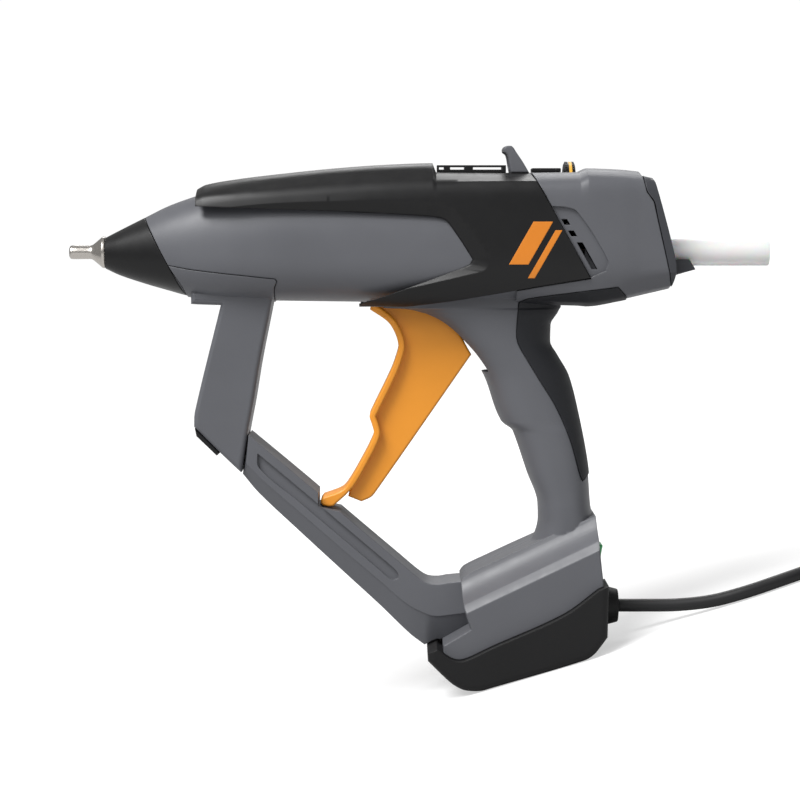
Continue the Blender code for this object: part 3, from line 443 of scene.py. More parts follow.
def turned(
    profile: Outline, axis: str = "X", x: float = 0.0, y: float = 0.0, z: float = 0.0, count: int = 64
) -> Obj:
    """A profile of (along, radius) points turned about a line.

    Args:
        profile: the points, from one end to the other.
        axis: the way the line runs.
        x: the line's place along X, where it doesn't run that way.
        y: the line's place along Y.
        z: the line's place along Z.
        count: the sides of each ring.

    Returns:
        The solid.
    """
    rings = []
    for along, radius in profile:
        ring = []
        for i in range(count):
            a = 2 * math.pi * i / count
            u, v = radius * math.cos(a), radius * math.sin(a)
            place = {"X": (along, y + u, z + v), "Y": (x + u, along, z + v), "Z": (x + u, y + v, along)}
            ring.append(place[axis])
        rings.append(ring)
    return loft(rings)


def combine(target: Obj, other: Obj, operation: str) -> Obj:
    """One Boolean of two closed solids, applied at once; the second one is used up."""
    modifier = target.modifiers.new("combine", "BOOLEAN")
    modifier.operation = operation
    modifier.solver = "MANIFOLD"
    modifier.object = other
    graph = bpy.context.evaluated_depsgraph_get()
    graph.update()
    mesh = bpy.data.meshes.new_from_object(target.evaluated_get(graph))
    target.modifiers.clear()
    old = target.data
    target.data = mesh
    bpy.data.meshes.remove(old)
    bpy.data.objects.remove(other, do_unlink=True)
    return target


def join(target: Obj, *others: Obj) -> Obj:
    """The target with the others added to it."""
    for other in others:
        combine(target, other, "UNION")
    return target


def cut(target: Obj, *others: Obj) -> Obj:
    """The target with the others taken from it."""
    for other in others:
        combine(target, other, "DIFFERENCE")
    return target


def shared(target: Obj, other: Obj) -> Obj:
    """What two solids have in common."""
    return combine(target, other, "INTERSECT")


def copied(obj: Obj) -> Obj:
    """A second object with a mesh of its own."""
    twin = obj.copy()
    twin.data = obj.data.copy()
    bpy.context.scene.collection.objects.link(twin)
    return twin


def baked(obj: Obj) -> Obj:
    """The object with its modifiers' result as a plain mesh."""
    graph = bpy.context.evaluated_depsgraph_get()
    graph.update()
    mesh = bpy.data.meshes.new_from_object(obj.evaluated_get(graph))
    obj.modifiers.clear()
    obj.data = mesh
    return obj


def rounded(obj: Obj, width: float, angle: float = 40.0, segments: int = 2) -> Obj:
    """The solid with its sharp edges rounded."""
    bm = bmesh.new()
    bm.from_mesh(obj.data)
    bmesh.ops.dissolve_limit(bm, angle_limit=math.radians(0.6), verts=bm.verts, edges=bm.edges)
    bm.to_mesh(obj.data)
    bm.free()
    modifier = obj.modifiers.new("edges", "BEVEL")
    modifier.width = width
    modifier.segments = segments
    modifier.limit_method = "ANGLE"
    modifier.angle_limit = math.radians(angle)
    modifier.use_clamp_overlap = True
    return baked(obj)


def settled(
    obj: Obj, name: str, body: str, slot: str, *nodes: str, smooth: float = 32.0
) -> Obj:
    """Set a finished piece down in the model's frame, name it, smooth its shading, hang it on its body and hide the
    CAD nodes it stands for.

    Args:
        obj: the piece, built in the gun's frame in millimetres.
        name: its name.
        body: the body it rides on.
        slot: not used.
        nodes: the CAD nodes it stands for.
        smooth: the angle in degrees past which an edge stays sharp.

    Returns:
        The piece.
    """
    obj.data.transform(GUN @ obj.matrix_world)
    obj.matrix_world = Matrix.Identity(4)
    obj.name = name
    obj.data.name = name
    obj.data.shade_smooth()
    obj.data.set_sharp_from_angle(angle=math.radians(smooth))
    modifier = obj.modifiers.new("weigh", "WEIGHTED_NORMAL")
    modifier.mode = "FACE_AREA"
    modifier.weight = 90
    modifier.keep_sharp = True
    baked(obj)
    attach(obj, body)
    if nodes:
        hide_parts(*nodes)
    return obj


# ---------------------------------------------------------------- finishes


def group_with(name: str, inputs: dict[str, float], outputs: dict[str, str]) -> Tree:
    """An empty shader node group with its sockets.

    Args:
        name: the group's name.
        inputs: each number's name and default.
        outputs: each output's name and socket type.

    Returns:
        The group.
    """
    tree = bpy.data.node_groups.new(name, "ShaderNodeTree")
    for key, value in inputs.items():
        socket = tree.interface.new_socket(key, in_out="INPUT", socket_type="NodeSocketFloat")
        socket.default_value = value
    for key, kind in outputs.items():
        tree.interface.new_socket(key, in_out="OUTPUT", socket_type=kind)
    tree.nodes.new("NodeGroupInput")
    tree.nodes.new("NodeGroupOutput")
    return tree


class Wiring:
    """A short way to place and link nodes in one tree."""

    def __init__(self, tree: Tree) -> None:
        """Keep the tree and its group ends, where it has them."""
        self.tree = tree
        self.given = next((n for n in tree.nodes if n.bl_idname == "NodeGroupInput"), None)
        self.result = next((n for n in tree.nodes if n.bl_idname == "NodeGroupOutput"), None)

    def node(self, kind: str, values: dict[str | int, object] | None = None, **settings: object) -> Node:
        """A new node with settings, and with values or links on its inputs.

        Args:
            kind: the node's type.
            values: what each input gets, a value or another node's output.
            settings: the node's own properties.

        Returns:
            The node.
        """
        made = self.tree.nodes.new(kind)
        for key, value in settings.items():
            setattr(made, key, value)
        for key, value in (values or {}).items():
            if isinstance(value, Socket):
                self.tree.links.new(value, made.inputs[key])
            else:
                made.inputs[key].default_value = value
        return made

    def math(self, operation: str, *terms: object) -> Socket:
        """The result of a Math node."""
        return self.node("ShaderNodeMath", dict(enumerate(terms)), operation=operation).outputs[0]

    def mixed(self, share: object, first: object, second: object) -> Socket:
        """A colour between two colours."""
        made = self.node("ShaderNodeMix", {0: share, 6: first, 7: second}, data_type="RGBA")
        return made.outputs[2]

    def noise(
        self, place: Socket, scale: object, detail: float = 3.0, rough: float = 0.55
    ) -> Socket:
        """The value of a Noise texture."""
        values = {"Vector": place, "Scale": scale, "Detail": detail, "Roughness": rough}
        return self.node("ShaderNodeTexNoise", values).outputs[0]

    def place(self) -> Socket:
        """Object coordinates."""
        return self.node("ShaderNodeTexCoord").outputs["Object"]

    def spread(self, value: Socket, low: float, high: float) -> Socket:
        """A noise value's middle range mapped to a roughness between two ends."""
        return self.node("ShaderNodeMapRange", {0: value, 1: 0.3, 2: 0.7, 3: low, 4: high}).outputs[0]

    def dress(
        self, shader: Node, colour: Socket, rough: Socket, bump: Node
    ) -> None:
        """Link a colour, a roughness and a bump to a material's shader."""
        self.tree.links.new(colour, shader.inputs["Base Color"])
        self.tree.links.new(rough, shader.inputs["Roughness"])
        self.tree.links.new(bump.outputs[0], shader.inputs["Normal"])


def begun(name: str, colour: Point3) -> tuple[Material, Wiring, Node]:
    """A new material, the wiring of its nodes and its shader.

    Args:
        name: the material's name.
        colour: its linear colour in a plain view.

    Returns:
        The three of them.
    """
    material = bpy.data.materials.new(name)
    material.use_nodes = True
    material.diffuse_color = (*colour, 1.0)
    return material, Wiring(material.node_tree), material.node_tree.nodes["Principled BSDF"]


def wear_group() -> Tree:
    """Edge wear: a rounded normal and a mask of the edges that hands rub bright."""
    tree = group_with(
        "rubbed edges",
        {"Radius": 0.0005, "Amount": 0.5, "Patches": 90.0},
        {"Mask": "NodeSocketFloat", "Normal": "NodeSocketVector"},
    )
    w = Wiring(tree)
    soft = w.node("ShaderNodeBevel", {"Radius": w.given.outputs["Radius"]}, samples=4)
    face = w.node("ShaderNodeNewGeometry")
    agree = w.node("ShaderNodeVectorMath", {0: soft.outputs[0], 1: face.outputs["Normal"]}, operation="DOT_PRODUCT")
    edge = w.math("MULTIPLY", w.math("SUBTRACT", 1.0, agree.outputs["Value"]), 4.0)
    patches = w.noise(w.place(), w.given.outputs["Patches"], 4.0)
    broken = w.node("ShaderNodeMapRange", {0: patches, 1: 0.38, 2: 0.68}).outputs[0]
    mask = w.math("MULTIPLY", w.math("MULTIPLY", edge, broken), w.given.outputs["Amount"])
    clamped = w.node("ShaderNodeClamp", {0: mask}).outputs[0]
    tree.links.new(clamped, w.result.inputs["Mask"])
    tree.links.new(soft.outputs[0], w.result.inputs["Normal"])
    return tree


def grain_group() -> Tree:
    """Moulded grain: the fine spark-eroded texture of a plastic shell, as a height."""
    tree = group_with("moulded grain", {"Scale": 2600.0, "Coarse": 700.0}, {"Height": "NodeSocketFloat"})
    w = Wiring(tree)
    place = w.place()
    fine = w.noise(place, w.given.outputs["Scale"], 2.0, 0.6)
    cells = w.node("ShaderNodeTexVoronoi", {"Vector": place, "Scale": w.given.outputs["Coarse"]}).outputs["Distance"]
    height = w.math("ADD", fine, w.math("MULTIPLY", cells, 0.45))
    tree.links.new(height, w.result.inputs["Height"])
    return tree


def smudge_group() -> Tree:
    """Handling: broad and fine unevenness of the gloss, and a little dust that settles on top faces."""
    tree = group_with(
        "handling", {"Broad": 26.0, "Fine": 240.0, "Dust": 0.12},
        {"Gloss": "NodeSocketFloat", "Dust": "NodeSocketFloat", "Tone": "NodeSocketFloat"},
    )
    w = Wiring(tree)
    place = w.place()
    broad = w.noise(place, w.given.outputs["Broad"], 4.0)
    fine = w.noise(place, w.given.outputs["Fine"], 3.0)
    gloss = w.math("ADD", w.math("MULTIPLY", broad, 0.65), w.math("MULTIPLY", fine, 0.35))
    up = w.node("ShaderNodeSeparateXYZ", {0: w.node("ShaderNodeNewGeometry").outputs["Normal"]}).outputs["Z"]
    lying = w.node("ShaderNodeMapRange", {0: up, 1: 0.55, 2: 1.0}).outputs[0]
    dust = w.math("MULTIPLY", w.math("MULTIPLY", lying, fine), w.given.outputs["Dust"])
    tree.links.new(gloss, w.result.inputs["Gloss"])
    tree.links.new(dust, w.result.inputs["Dust"])
    tree.links.new(broad, w.result.inputs["Tone"])
    return tree


class Shared:
    """The node groups that the finishes have in common, each built once."""

    made: dict[str, Tree] = {}

    @classmethod
    def get(cls, name: str, build: Callable[[], Tree]) -> Tree:
        """The group of that name, built on first use."""
        if name not in cls.made:
            cls.made[name] = build()
        return cls.made[name]


@dataclass(frozen=True)
class Plastic:
    """A moulded plastic or rubber with grain, smudges and rubbed edges.

    Args:
        name: the material's name.
        colour: its linear colour.
        roughness: its mean roughness.
        grain: how deep the moulded grain is.
        scale: how many grains a metre.
        worn: how bright its rubbed edges are.
        worn_colour: the colour under the rubbed skin.
        dust: how much dust lies on its top faces.
        radius: the rounding that its edges catch light on, in metres.
        specular: the strength of its shine.
    """

    name: str
    colour: Point3
    roughness: float = 0.46
    grain: float = 0.12
    scale: float = 2600.0
    worn: float = 0.4
    worn_colour: Point3 = (0.35, 0.35, 0.36)
    dust: float = 0.1
    radius: float = 0.0005
    specular: float = 0.5

    def build(self) -> Material:
        """The material with its nodes."""
        material, w, shader = begun(self.name, self.colour)
        wear = w.node("ShaderNodeGroup", node_tree=Shared.get("wear", wear_group))
        wear.inputs["Radius"].default_value = self.radius
        wear.inputs["Amount"].default_value = self.worn
        grain = w.node("ShaderNodeGroup", node_tree=Shared.get("grain", grain_group))
        grain.inputs["Scale"].default_value = self.scale
        grain.inputs["Coarse"].default_value = self.scale * 0.28
        hand = w.node("ShaderNodeGroup", node_tree=Shared.get("hand", smudge_group))
        hand.inputs["Dust"].default_value = self.dust
        dark = tuple(c * 0.9 for c in self.colour)
        light = tuple(min(1.0, c * 1.1) for c in self.colour)
        tone = w.mixed(hand.outputs["Tone"], (*dark, 1.0), (*light, 1.0))
        rubbed = w.mixed(wear.outputs["Mask"], tone, (*self.worn_colour, 1.0))
        dusty = w.mixed(hand.outputs["Dust"], rubbed, (0.55, 0.53, 0.5, 1.0))
        rough = w.spread(hand.outputs["Gloss"], self.roughness - 0.07, self.roughness + 0.09)
        height, normal = grain.outputs["Height"], wear.outputs["Normal"]
        values = {"Strength": self.grain, "Distance": 0.0001, "Height": height, "Normal": normal}
        bump = w.node("ShaderNodeBump", values)
        w.dress(shader, dusty, rough, bump)
        shader.inputs["Specular IOR Level"].default_value = self.specular
        return material


@dataclass(frozen=True)
class Metal:
    """A turned, drawn or cast metal.

    Args:
        name: the material's name.
        colour: its linear colour.
        roughness: its mean roughness.
        lines: tool marks for each metre along the turning axis, or nought on a casting.
        heat: how much it is tinted by heat.
    """

    name: str
    colour: Point3
    roughness: float = 0.26
    lines: float = 5200.0
    heat: float = 0.0

    def build(self) -> Material:
        """The material with its nodes."""
        material, w, shader = begun(self.name, self.colour)
        values = {"Vector": w.place(), "Rotation": (0.0, -TILT, 0.0), "Scale": (1.0, 0.02, 0.02)}
        turn = w.node("ShaderNodeMapping", values)
        marks = w.noise(turn.outputs[0], self.lines or 600.0, 3.0, 0.7)
        hand = w.node("ShaderNodeGroup", node_tree=Shared.get("hand", smudge_group))
        warm = (self.colour[0] * 0.62, self.colour[1] * 0.5, self.colour[2] * 0.38, 1.0)
        tint = w.math("MULTIPLY", hand.outputs["Tone"], self.heat)
        colour = w.mixed(tint, (*self.colour, 1.0), warm)
        streaked = w.math("ADD", w.math("MULTIPLY", marks, 0.6), w.math("MULTIPLY", hand.outputs["Gloss"], 0.4))
        rough = w.spread(streaked, self.roughness * 0.65, self.roughness * 1.45)
        bump = w.node("ShaderNodeBump", {"Strength": 0.12, "Distance": 0.00006, "Height": marks})
        w.dress(shader, colour, rough, bump)
        shader.inputs["Metallic"].default_value = 1.0
        return material


@dataclass(frozen=True)
class Glue:
    """Milky hot-melt glue, with faint flow marks and a waxy skin."""

    name: str = "milky_glue"
    colour: Point3 = (0.86, 0.87, 0.87)

    def build(self) -> Material:
        """The material with its nodes."""
        material, w, shader = begun(self.name, self.colour)
        values = {"Vector": w.place(), "Rotation": (0.0, -TILT, 0.0), "Scale": (0.15, 1.0, 1.0)}
        drawn = w.node("ShaderNodeMapping", values)
        clouds = w.noise(drawn.outputs[0], 320.0, 3.0)
        pale = tuple(min(1.0, c * 1.08) for c in self.colour)
        tone = w.mixed(clouds, (*self.colour, 1.0), (*pale, 1.0))
        rough = w.spread(clouds, 0.28, 0.42)
        bump = w.node("ShaderNodeBump", {"Strength": 0.1, "Distance": 0.0001, "Height": clouds})
        w.dress(shader, tone, rough, bump)
        shader.inputs["Subsurface Weight"].default_value = 0.5
        shader.inputs["Subsurface Scale"].default_value = 0.004
        shader.inputs["Transmission Weight"].default_value = 0.25
        return material


class Finish(Enum):
    """Every finish on the gun."""

    GREY = Plastic("grey_shell", (0.108, 0.111, 0.123), 0.42, 0.10, 2600.0, 0.25, (0.3, 0.3, 0.32), 0.03, 0.0006, 0.4)
    BLACK = Plastic(
        "black_cover", (0.0085, 0.0085, 0.009), 0.36, 0.10, 2400.0, 0.3, (0.07, 0.07, 0.075), 0.02, 0.0006, 0.32
    )
    CAP = Plastic("dark_cap", (0.045, 0.047, 0.054), 0.42, 0.10, 2400.0, 0.3, (0.2, 0.2, 0.22), 0.03, 0.0006, 0.35)
    RUBBER = Plastic(
        "black_rubber", (0.0075, 0.0075, 0.008), 0.5, 0.25, 1500.0, 0.25, (0.05, 0.05, 0.05), 0.03, 0.0006, 0.3
    )
    SOFT = Plastic("soft_grip", (0.012, 0.013, 0.016), 0.56, 0.3, 1300.0, 0.3, (0.06, 0.06, 0.065), 0.03, 0.0006, 0.35)
    ORANGE = Plastic("orange_trigger", (0.80, 0.30, 0.022), 0.38, 0.08, 2600.0, 0.3, (0.95, 0.55, 0.2), 0.02)
    PRINT = Plastic("orange_print", (0.72, 0.22, 0.012), 0.45, 0.05, 3200.0, 0.0, (0.8, 0.5, 0.2), 0.02)
    LIGHT = Plastic("light_grey", (0.115, 0.118, 0.13), 0.4, 0.08, 2600.0, 0.3, (0.3, 0.3, 0.32), 0.03, 0.0006, 0.4)
    YELLOW = Plastic("yellow_ring", (0.78, 0.42, 0.05), 0.38, 0.06, 2600.0, 0.2, (0.9, 0.7, 0.4), 0.02)
    GREEN = Plastic("green_key", (0.07, 0.5, 0.16), 0.3, 0.05, 2600.0, 0.2, (0.3, 0.7, 0.4), 0.02)
    CABLE = Plastic(
        "cable_jacket", (0.014, 0.014, 0.015), 0.45, 0.2, 1900.0, 0.0, (0.05, 0.05, 0.05), 0.04, 0.0005, 0.4
    )
    SILICONE = Plastic("red_silicone", (0.42, 0.07, 0.04), 0.55, 0.1, 1800.0, 0.0, (0.5, 0.2, 0.2), 0.05)
    BOARD = Plastic("green_board", (0.02, 0.13, 0.06), 0.4, 0.05, 2600.0, 0.0, (0.1, 0.3, 0.2), 0.05)
    STEEL = Metal("turned_steel", (0.66, 0.64, 0.61), 0.24, 5200.0, 0.35)
    ZINC = Metal("zinc_screw", (0.7, 0.7, 0.69), 0.3, 3000.0)
    ALUMINIUM = Metal("cast_aluminium", (0.74, 0.74, 0.75), 0.42, 0.0)
    BRASS = Metal("turned_brass", (0.75, 0.55, 0.22), 0.26, 4000.0)
    GLUE = Glue()

    def material(self) -> Material:
        """The material of this finish, built on first use."""
        found = bpy.data.materials.get(self.value.name)
        return found or self.value.build()

    def on(self, obj: Obj) -> Obj:
        """The piece in this finish."""
        obj.data.materials.clear()
        obj.data.materials.append(self.material())
        return obj


def report(obj: Obj) -> Obj:
    """Log a finished piece's name and faces."""
    LOG.info("%-22s %6d faces", obj.name, len(obj.data.polygons) if obj.type == "MESH" else 0)
    return obj


# ---------------------------------------------------------------- the gun's sub-assemblies


@dataclass
class Body:
    """The lofts that the shells share: barrel, rear housing, handle and upper cover."""

    barrel_half: float = 26.0
    cover_thickness: float = 2.4
    grip_half: float = 17.5
    wall: float = 2.2
    base_half: float = 29.0
    ridge: tuple[Point2, Point2] = ((164.9, -148.4), (216.1, -123.9))
    chamfer: float = 3.2
    sweep: float = 13.0
    draft: float = 1.2
    corner: float = 6.5
    most_share: float = 1.03

    def ring(self, up: float, down: float, half: float, power: float, count: int = 96) -> list[Point2]:
        """A squared ellipse with unlike upper and lower halves, as (y, z) points."""
        points = []
        for i in range(count):
            a = 2 * math.pi * (i + 0.5) / count
            c, s = math.cos(a), math.sin(a)
            across = half * math.copysign(abs(c) ** (2 / power), c)
            points.append((across, (up if s >= 0 else down) * math.copysign(abs(s) ** (2 / power), s)))
        return points

    def barrel(self, table: Sequence[Sequence[float]], grow: float = 0.0, fine: bool = True) -> Obj:
        """The barrel or the rear housing through its stations, grown by a distance."""
        places = steps(table[0][0], table[-1][0], 2.0 if fine else 8.0, [row[0] for row in table])
        rings = []
        for x in places:
            top, bottom, share, power = (eased(table, i, x) for i in range(1, 5))
            half = share * self.barrel_half + grow
            ring = self.ring(top + grow, grow - bottom, half, power, 96 if fine else 40)
            rings.append([(x, y, z) for y, z in ring])
        return loft(rings)

    def handle(self, grow: float = 0.0, fine: bool = True) -> Obj:
        """The handle and the base under it through their stations, grown by a distance."""
        table = HANDLE
        rows = [row[0] for row in table]
        places = steps(rows[0], rows[-2], 1.6 if fine else 8.0, rows[:-1])
        rings = []
        for z in places:
            front, back, share = (eased(table, i, z) for i in range(1, 4))
            length = (back - front) / 2 + grow
            ring = self.ring(length, length, 1.0, 2.5, 96 if fine else 32)
            middle = (front + back) / 2
            half = min(share, self.most_share) * self.grip_half + grow
            rings.append([(middle + x, y * half, z) for y, x in ring])
        return join(loft(rings), self.foot(grow))

    def foot(self, grow: float = 0.0) -> Obj:
        """The base under the handle: a block cut to its side view, whose sides run level along the ridge.

        Args:
            grow: the distance it's grown by.

        Returns:
            The solid.
        """
        side = [(x - grow if x < 180.0 else x, z) for x, z in curved(BASE_LINE, 1.2, 30.0)]
        block = slab(inset(side, -grow) if grow else side, self.base_half + 4.0 + grow, self.corner, 6)
        shoulder = self.base_half - self.chamfer * 0.85
        narrow = self.grip_half - 1.0
        half = [(-60.0, self.base_half - self.draft), (-0.35, self.base_half), (0.25, self.base_half - 0.25)]
        half.append((self.chamfer, shoulder))
        for k in range(1, 11):
            t = k / 10
            half.append((self.chamfer + self.sweep * t, shoulder + (narrow - shoulder) * (1 - (1 - t) ** 2.3)))
        half.append((60.0, self.grip_half - self.draft))
        (x0, z0), (x1, z1) = self.ridge
        along = Vector((x1 - x0, z1 - z0)).normalized()
        up = Vector((-along.y, along.x))
        rings = []
        for u in (-60.0, 110.0):
            ring = []
            for sign in (1.0, -1.0):
                for v, y in half if sign > 0 else reversed(half):
                    place = Vector((x0, z0)) + along * u + up * v
                    ring.append((place.x, sign * (y + grow), place.y))
            rings.append(ring)
        return shared(block, loft(rings))

    def hood(self, grow: float = 0.0) -> Obj:
        """The outside of the upper cover, with its crest line, grown by a distance."""
        places = steps(54.3, 222.0, 1.5, [row[0] for row in COVER])
        rings = []
        for x in places:
            top, crest, share = (eased(COVER, i, x) for i in range(1, 4))
            half = share * self.barrel_half + self.cover_thickness + grow
            corners = [
                (0.0, top + grow), (half * 0.42, top - 0.3 + grow), (half * 0.66, top - 1.6 + grow),
                (half * 0.925, crest + grow * 0.6), (half * 0.985, crest - 5.0), (half, 9.0), (half, -4.0),
                (half * 0.97, -10.0), (half * 0.9, -16.0), (half * 0.74, -21.5 - grow), (half * 0.4, -24.2 - grow),
                (0.0, -24.6 - grow),
            ]
            right = curved(corners, 2.2, 26.0, closed=False)
            rings.append([(x, y, z) for y, z in even(right, 36)])
        full = []
        for ring in rings:
            inner = ring[1:-1]
            full.append(ring + [(x, -y, z) for x, y, z in reversed(inner)])
        return loft(full)

    def housing(self, grow: float = 0.0, fine: bool = True) -> Obj:
        """The rear housing behind the cover, with its crest line, grown by a distance."""
        places = steps(183.5, 262.0, 1.5 if fine else 8.0, [row[0] for row in REAR])
        rings = []
        for x in places:
            top, bottom, share = (eased(REAR, i, x) for i in range(1, 4))
            half = share * self.barrel_half + grow
            crest = top - 4.4
            corners = [
                (0.0, top + grow), (half * 0.46, top - 0.2 + grow), (half * 0.70, top - 1.3 + grow),
                (half * 0.93, crest + grow * 0.6), (half * 0.985, crest - 4.5), (half, 8.0), (half, -3.0),
                (half * 0.97, -9.0), (half * 0.88, bottom + 5.5), (half * 0.72, bottom + 1.6 - grow * 0.5),
                (half * 0.45, bottom - grow), (0.0, bottom - grow),
            ]
            right = even(curved(corners, 2.0, 24.0, closed=False), 40 if fine else 20)
            rings.append([(x, y, z) for y, z in right] + [(x, -y, z) for y, z in reversed(right[1:-1])])
        return loft(rings)

    def rear_end(self, grow: float = 0.0, fine: bool = True, region: Outline = REAR_REGION) -> Obj:
        """The rear housing cut to its side view."""
        return shared(self.housing(grow, fine), prism(region, -60.0, 60.0))

    def outside(self, grow: float = 0.0) -> Obj:
        """The outside of the rear housing and the handle together."""
        return join(self.rear_end(grow), self.handle(grow))


def even(points: Outline, count: int) -> list[Point2]:
    """As many points as asked for along a line of points, evenly spread, corners kept where they are sharp."""
    lengths = [0.0]
    for a, b in zip(points, points[1:]):
        lengths.append(lengths[-1] + math.dist(a, b))
    out: list[Point2] = []
    k = 0
    for i in range(count):
        want = lengths[-1] * i / (count - 1)
        while k < len(lengths) - 2 and lengths[k + 1] < want:
            k += 1
        span = lengths[k + 1] - lengths[k] or 1.0
        t = (want - lengths[k]) / span
        a, b = points[k], points[k + 1]
        out.append((a[0] + (b[0] - a[0]) * t, a[1] + (b[1] - a[1]) * t))
    return out


def paired(first: Outline, second: Outline, step: float = 1.5) -> tuple[list[Point2], list[Point2]]:
    """Two outlines of as many corners each, made finer point by point so that a loft joins them cleanly."""
    fine: tuple[list[Point2], list[Point2]] = ([], [])
    count = len(first)
    for i in range(count):
        pieces = max(1, round(math.dist(first[i], first[(i + 1) % count]) / step))
        for line, out in zip((first, second), fine):
            p0, p1, p2, p3 = (Vector(line[(i + k) % count]) for k in (-1, 0, 1, 2))
            length = (p2 - p1).length
            t1 = (p2 - p0).normalized() * length if (p1 - p0).angle(p2 - p1) < 0.75 else p2 - p1
            t2 = (p3 - p1).normalized() * length if (p3 - p2).angle(p2 - p1) < 0.75 else p2 - p1
            for k in range(pieces):
                t = k / pieces
                out.append(
                    tuple(
                        p1 * (2 * t**3 - 3 * t**2 + 1) + t1 * (t**3 - 2 * t**2 + t)
                        + p2 * (3 * t**2 - 2 * t**3) + t2 * (t**3 - t**2)
                    )
                )
    return fine


# ---------------------------------------------------------------- repeated parts, in Geometry Nodes


def new_tree(name: str, inputs: Sequence[tuple[str, str]]) -> tuple[Tree, Node, Node]:
    """A Geometry Nodes tree with its named inputs and its two ends.

    Args:
        name: the tree's name.
        inputs: each input's name and socket type, after the geometry.

    Returns:
        The tree, its input node and its output node.
    """
    tree = bpy.data.node_groups.new(name, "GeometryNodeTree")
    tree.interface.new_socket("Geometry", in_out="INPUT", socket_type="NodeSocketGeometry")
    for key, kind in inputs:
        tree.interface.new_socket(key, in_out="INPUT", socket_type=kind)
    tree.interface.new_socket("Geometry", in_out="OUTPUT", socket_type="NodeSocketGeometry")
    return tree, tree.nodes.new("NodeGroupInput"), tree.nodes.new("NodeGroupOutput")


def ring_tree() -> Tree:
    """A tree that sets blocks round a ring and repeats the ring along its axis."""
    tree, given, result = new_tree(
        "ribs_round_a_ring",
        (
            ("Count", "NodeSocketInt"), ("Radius", "NodeSocketFloat"), ("Rib", "NodeSocketVector"),
            ("Rings", "NodeSocketInt"), ("Pitch", "NodeSocketFloat"), ("Finish", "NodeSocketMaterial"),
        ),
    )
    nodes, links = tree.nodes, tree.links
    ring = nodes.new("GeometryNodeMeshCircle")
    rib = nodes.new("GeometryNodeMeshCube")
    place = nodes.new("GeometryNodeInputPosition")
    turn = nodes.new("FunctionNodeAlignRotationToVector")
    turn.axis = "X"
    turn.pivot_axis = "Z"
    set_out = nodes.new("GeometryNodeInstanceOnPoints")
    row = nodes.new("GeometryNodeMeshLine")
    apart = nodes.new("ShaderNodeCombineXYZ")
    repeat = nodes.new("GeometryNodeInstanceOnPoints")
    real = nodes.new("GeometryNodeRealizeInstances")
    dress = nodes.new("GeometryNodeSetMaterial")
    links.new(given.outputs["Count"], ring.inputs["Vertices"])
    links.new(given.outputs["Radius"], ring.inputs["Radius"])
    links.new(given.outputs["Rib"], rib.inputs["Size"])
    links.new(place.outputs[0], turn.inputs["Vector"])
    links.new(ring.outputs[0], set_out.inputs["Points"])
    links.new(rib.outputs["Mesh"], set_out.inputs["Instance"])
    links.new(turn.outputs[0], set_out.inputs["Rotation"])
    links.new(given.outputs["Rings"], row.inputs["Count"])
    links.new(given.outputs["Pitch"], apart.inputs["Z"])
    links.new(apart.outputs[0], row.inputs["Offset"])
    links.new(row.outputs[0], repeat.inputs["Points"])
    links.new(set_out.outputs[0], repeat.inputs["Instance"])
    links.new(repeat.outputs[0], real.inputs[0])
    links.new(real.outputs[0], dress.inputs["Geometry"])
    links.new(given.outputs["Finish"], dress.inputs["Material"])
    links.new(dress.outputs[0], result.inputs[0])
    return tree


def copies_tree() -> Tree:
    """A tree that sets one copy of a unit on every point of its geometry."""
    sockets = (("Unit", "NodeSocketObject"), ("Finish", "NodeSocketMaterial"))
    tree, given, result = new_tree("one_on_each_point", sockets)
    nodes, links = tree.nodes, tree.links
    unit = nodes.new("GeometryNodeObjectInfo")
    set_out = nodes.new("GeometryNodeInstanceOnPoints")
    real = nodes.new("GeometryNodeRealizeInstances")
    dress = nodes.new("GeometryNodeSetMaterial")
    links.new(given.outputs["Unit"], unit.inputs["Object"])
    links.new(given.outputs["Geometry"], set_out.inputs["Points"])
    links.new(unit.outputs["Geometry"], set_out.inputs["Instance"])
    links.new(set_out.outputs[0], real.inputs[0])
    links.new(real.outputs[0], dress.inputs["Geometry"])
    links.new(given.outputs["Finish"], dress.inputs["Material"])
    links.new(dress.outputs[0], result.inputs[0])
    return tree


def grown(
    name: str, tree: Tree, values: dict[str, object], points: Sequence[Point3] = ()
) -> Obj:
    """A plain mesh from a Geometry Nodes tree.

    Args:
        name: the object's name.
        tree: the tree.
        values: what each of its named inputs gets.
        points: the points that it starts from, where it needs some.

    Returns:
        The object, with no modifier left on it.
    """
    mesh = bpy.data.meshes.new(name)
    mesh.from_pydata(list(points), [], [])
    obj = bpy.data.objects.new(name, mesh)
    bpy.context.scene.collection.objects.link(obj)
    modifier = obj.modifiers.new("grow", "NODES")
    modifier.node_group = tree
    for item in tree.interface.items_tree:
        if item.in_out == "INPUT" and item.name in values:
            modifier[item.identifier] = values[item.name]
    return baked(obj)


def turned_onto(obj: Obj, x: float, y: float, z: float, axis: str = "X") -> Obj:
    """The mesh with its own Z axis laid along X or Y and moved to a place."""
    turn = Matrix.Rotation(math.pi / 2, 4, "Y") if axis == "X" else Matrix.Rotation(-math.pi / 2, 4, "X")
    obj.data.transform(Matrix.Translation((x, y, z)) @ turn)
    return obj


# ---------------------------------------------------------------- studio


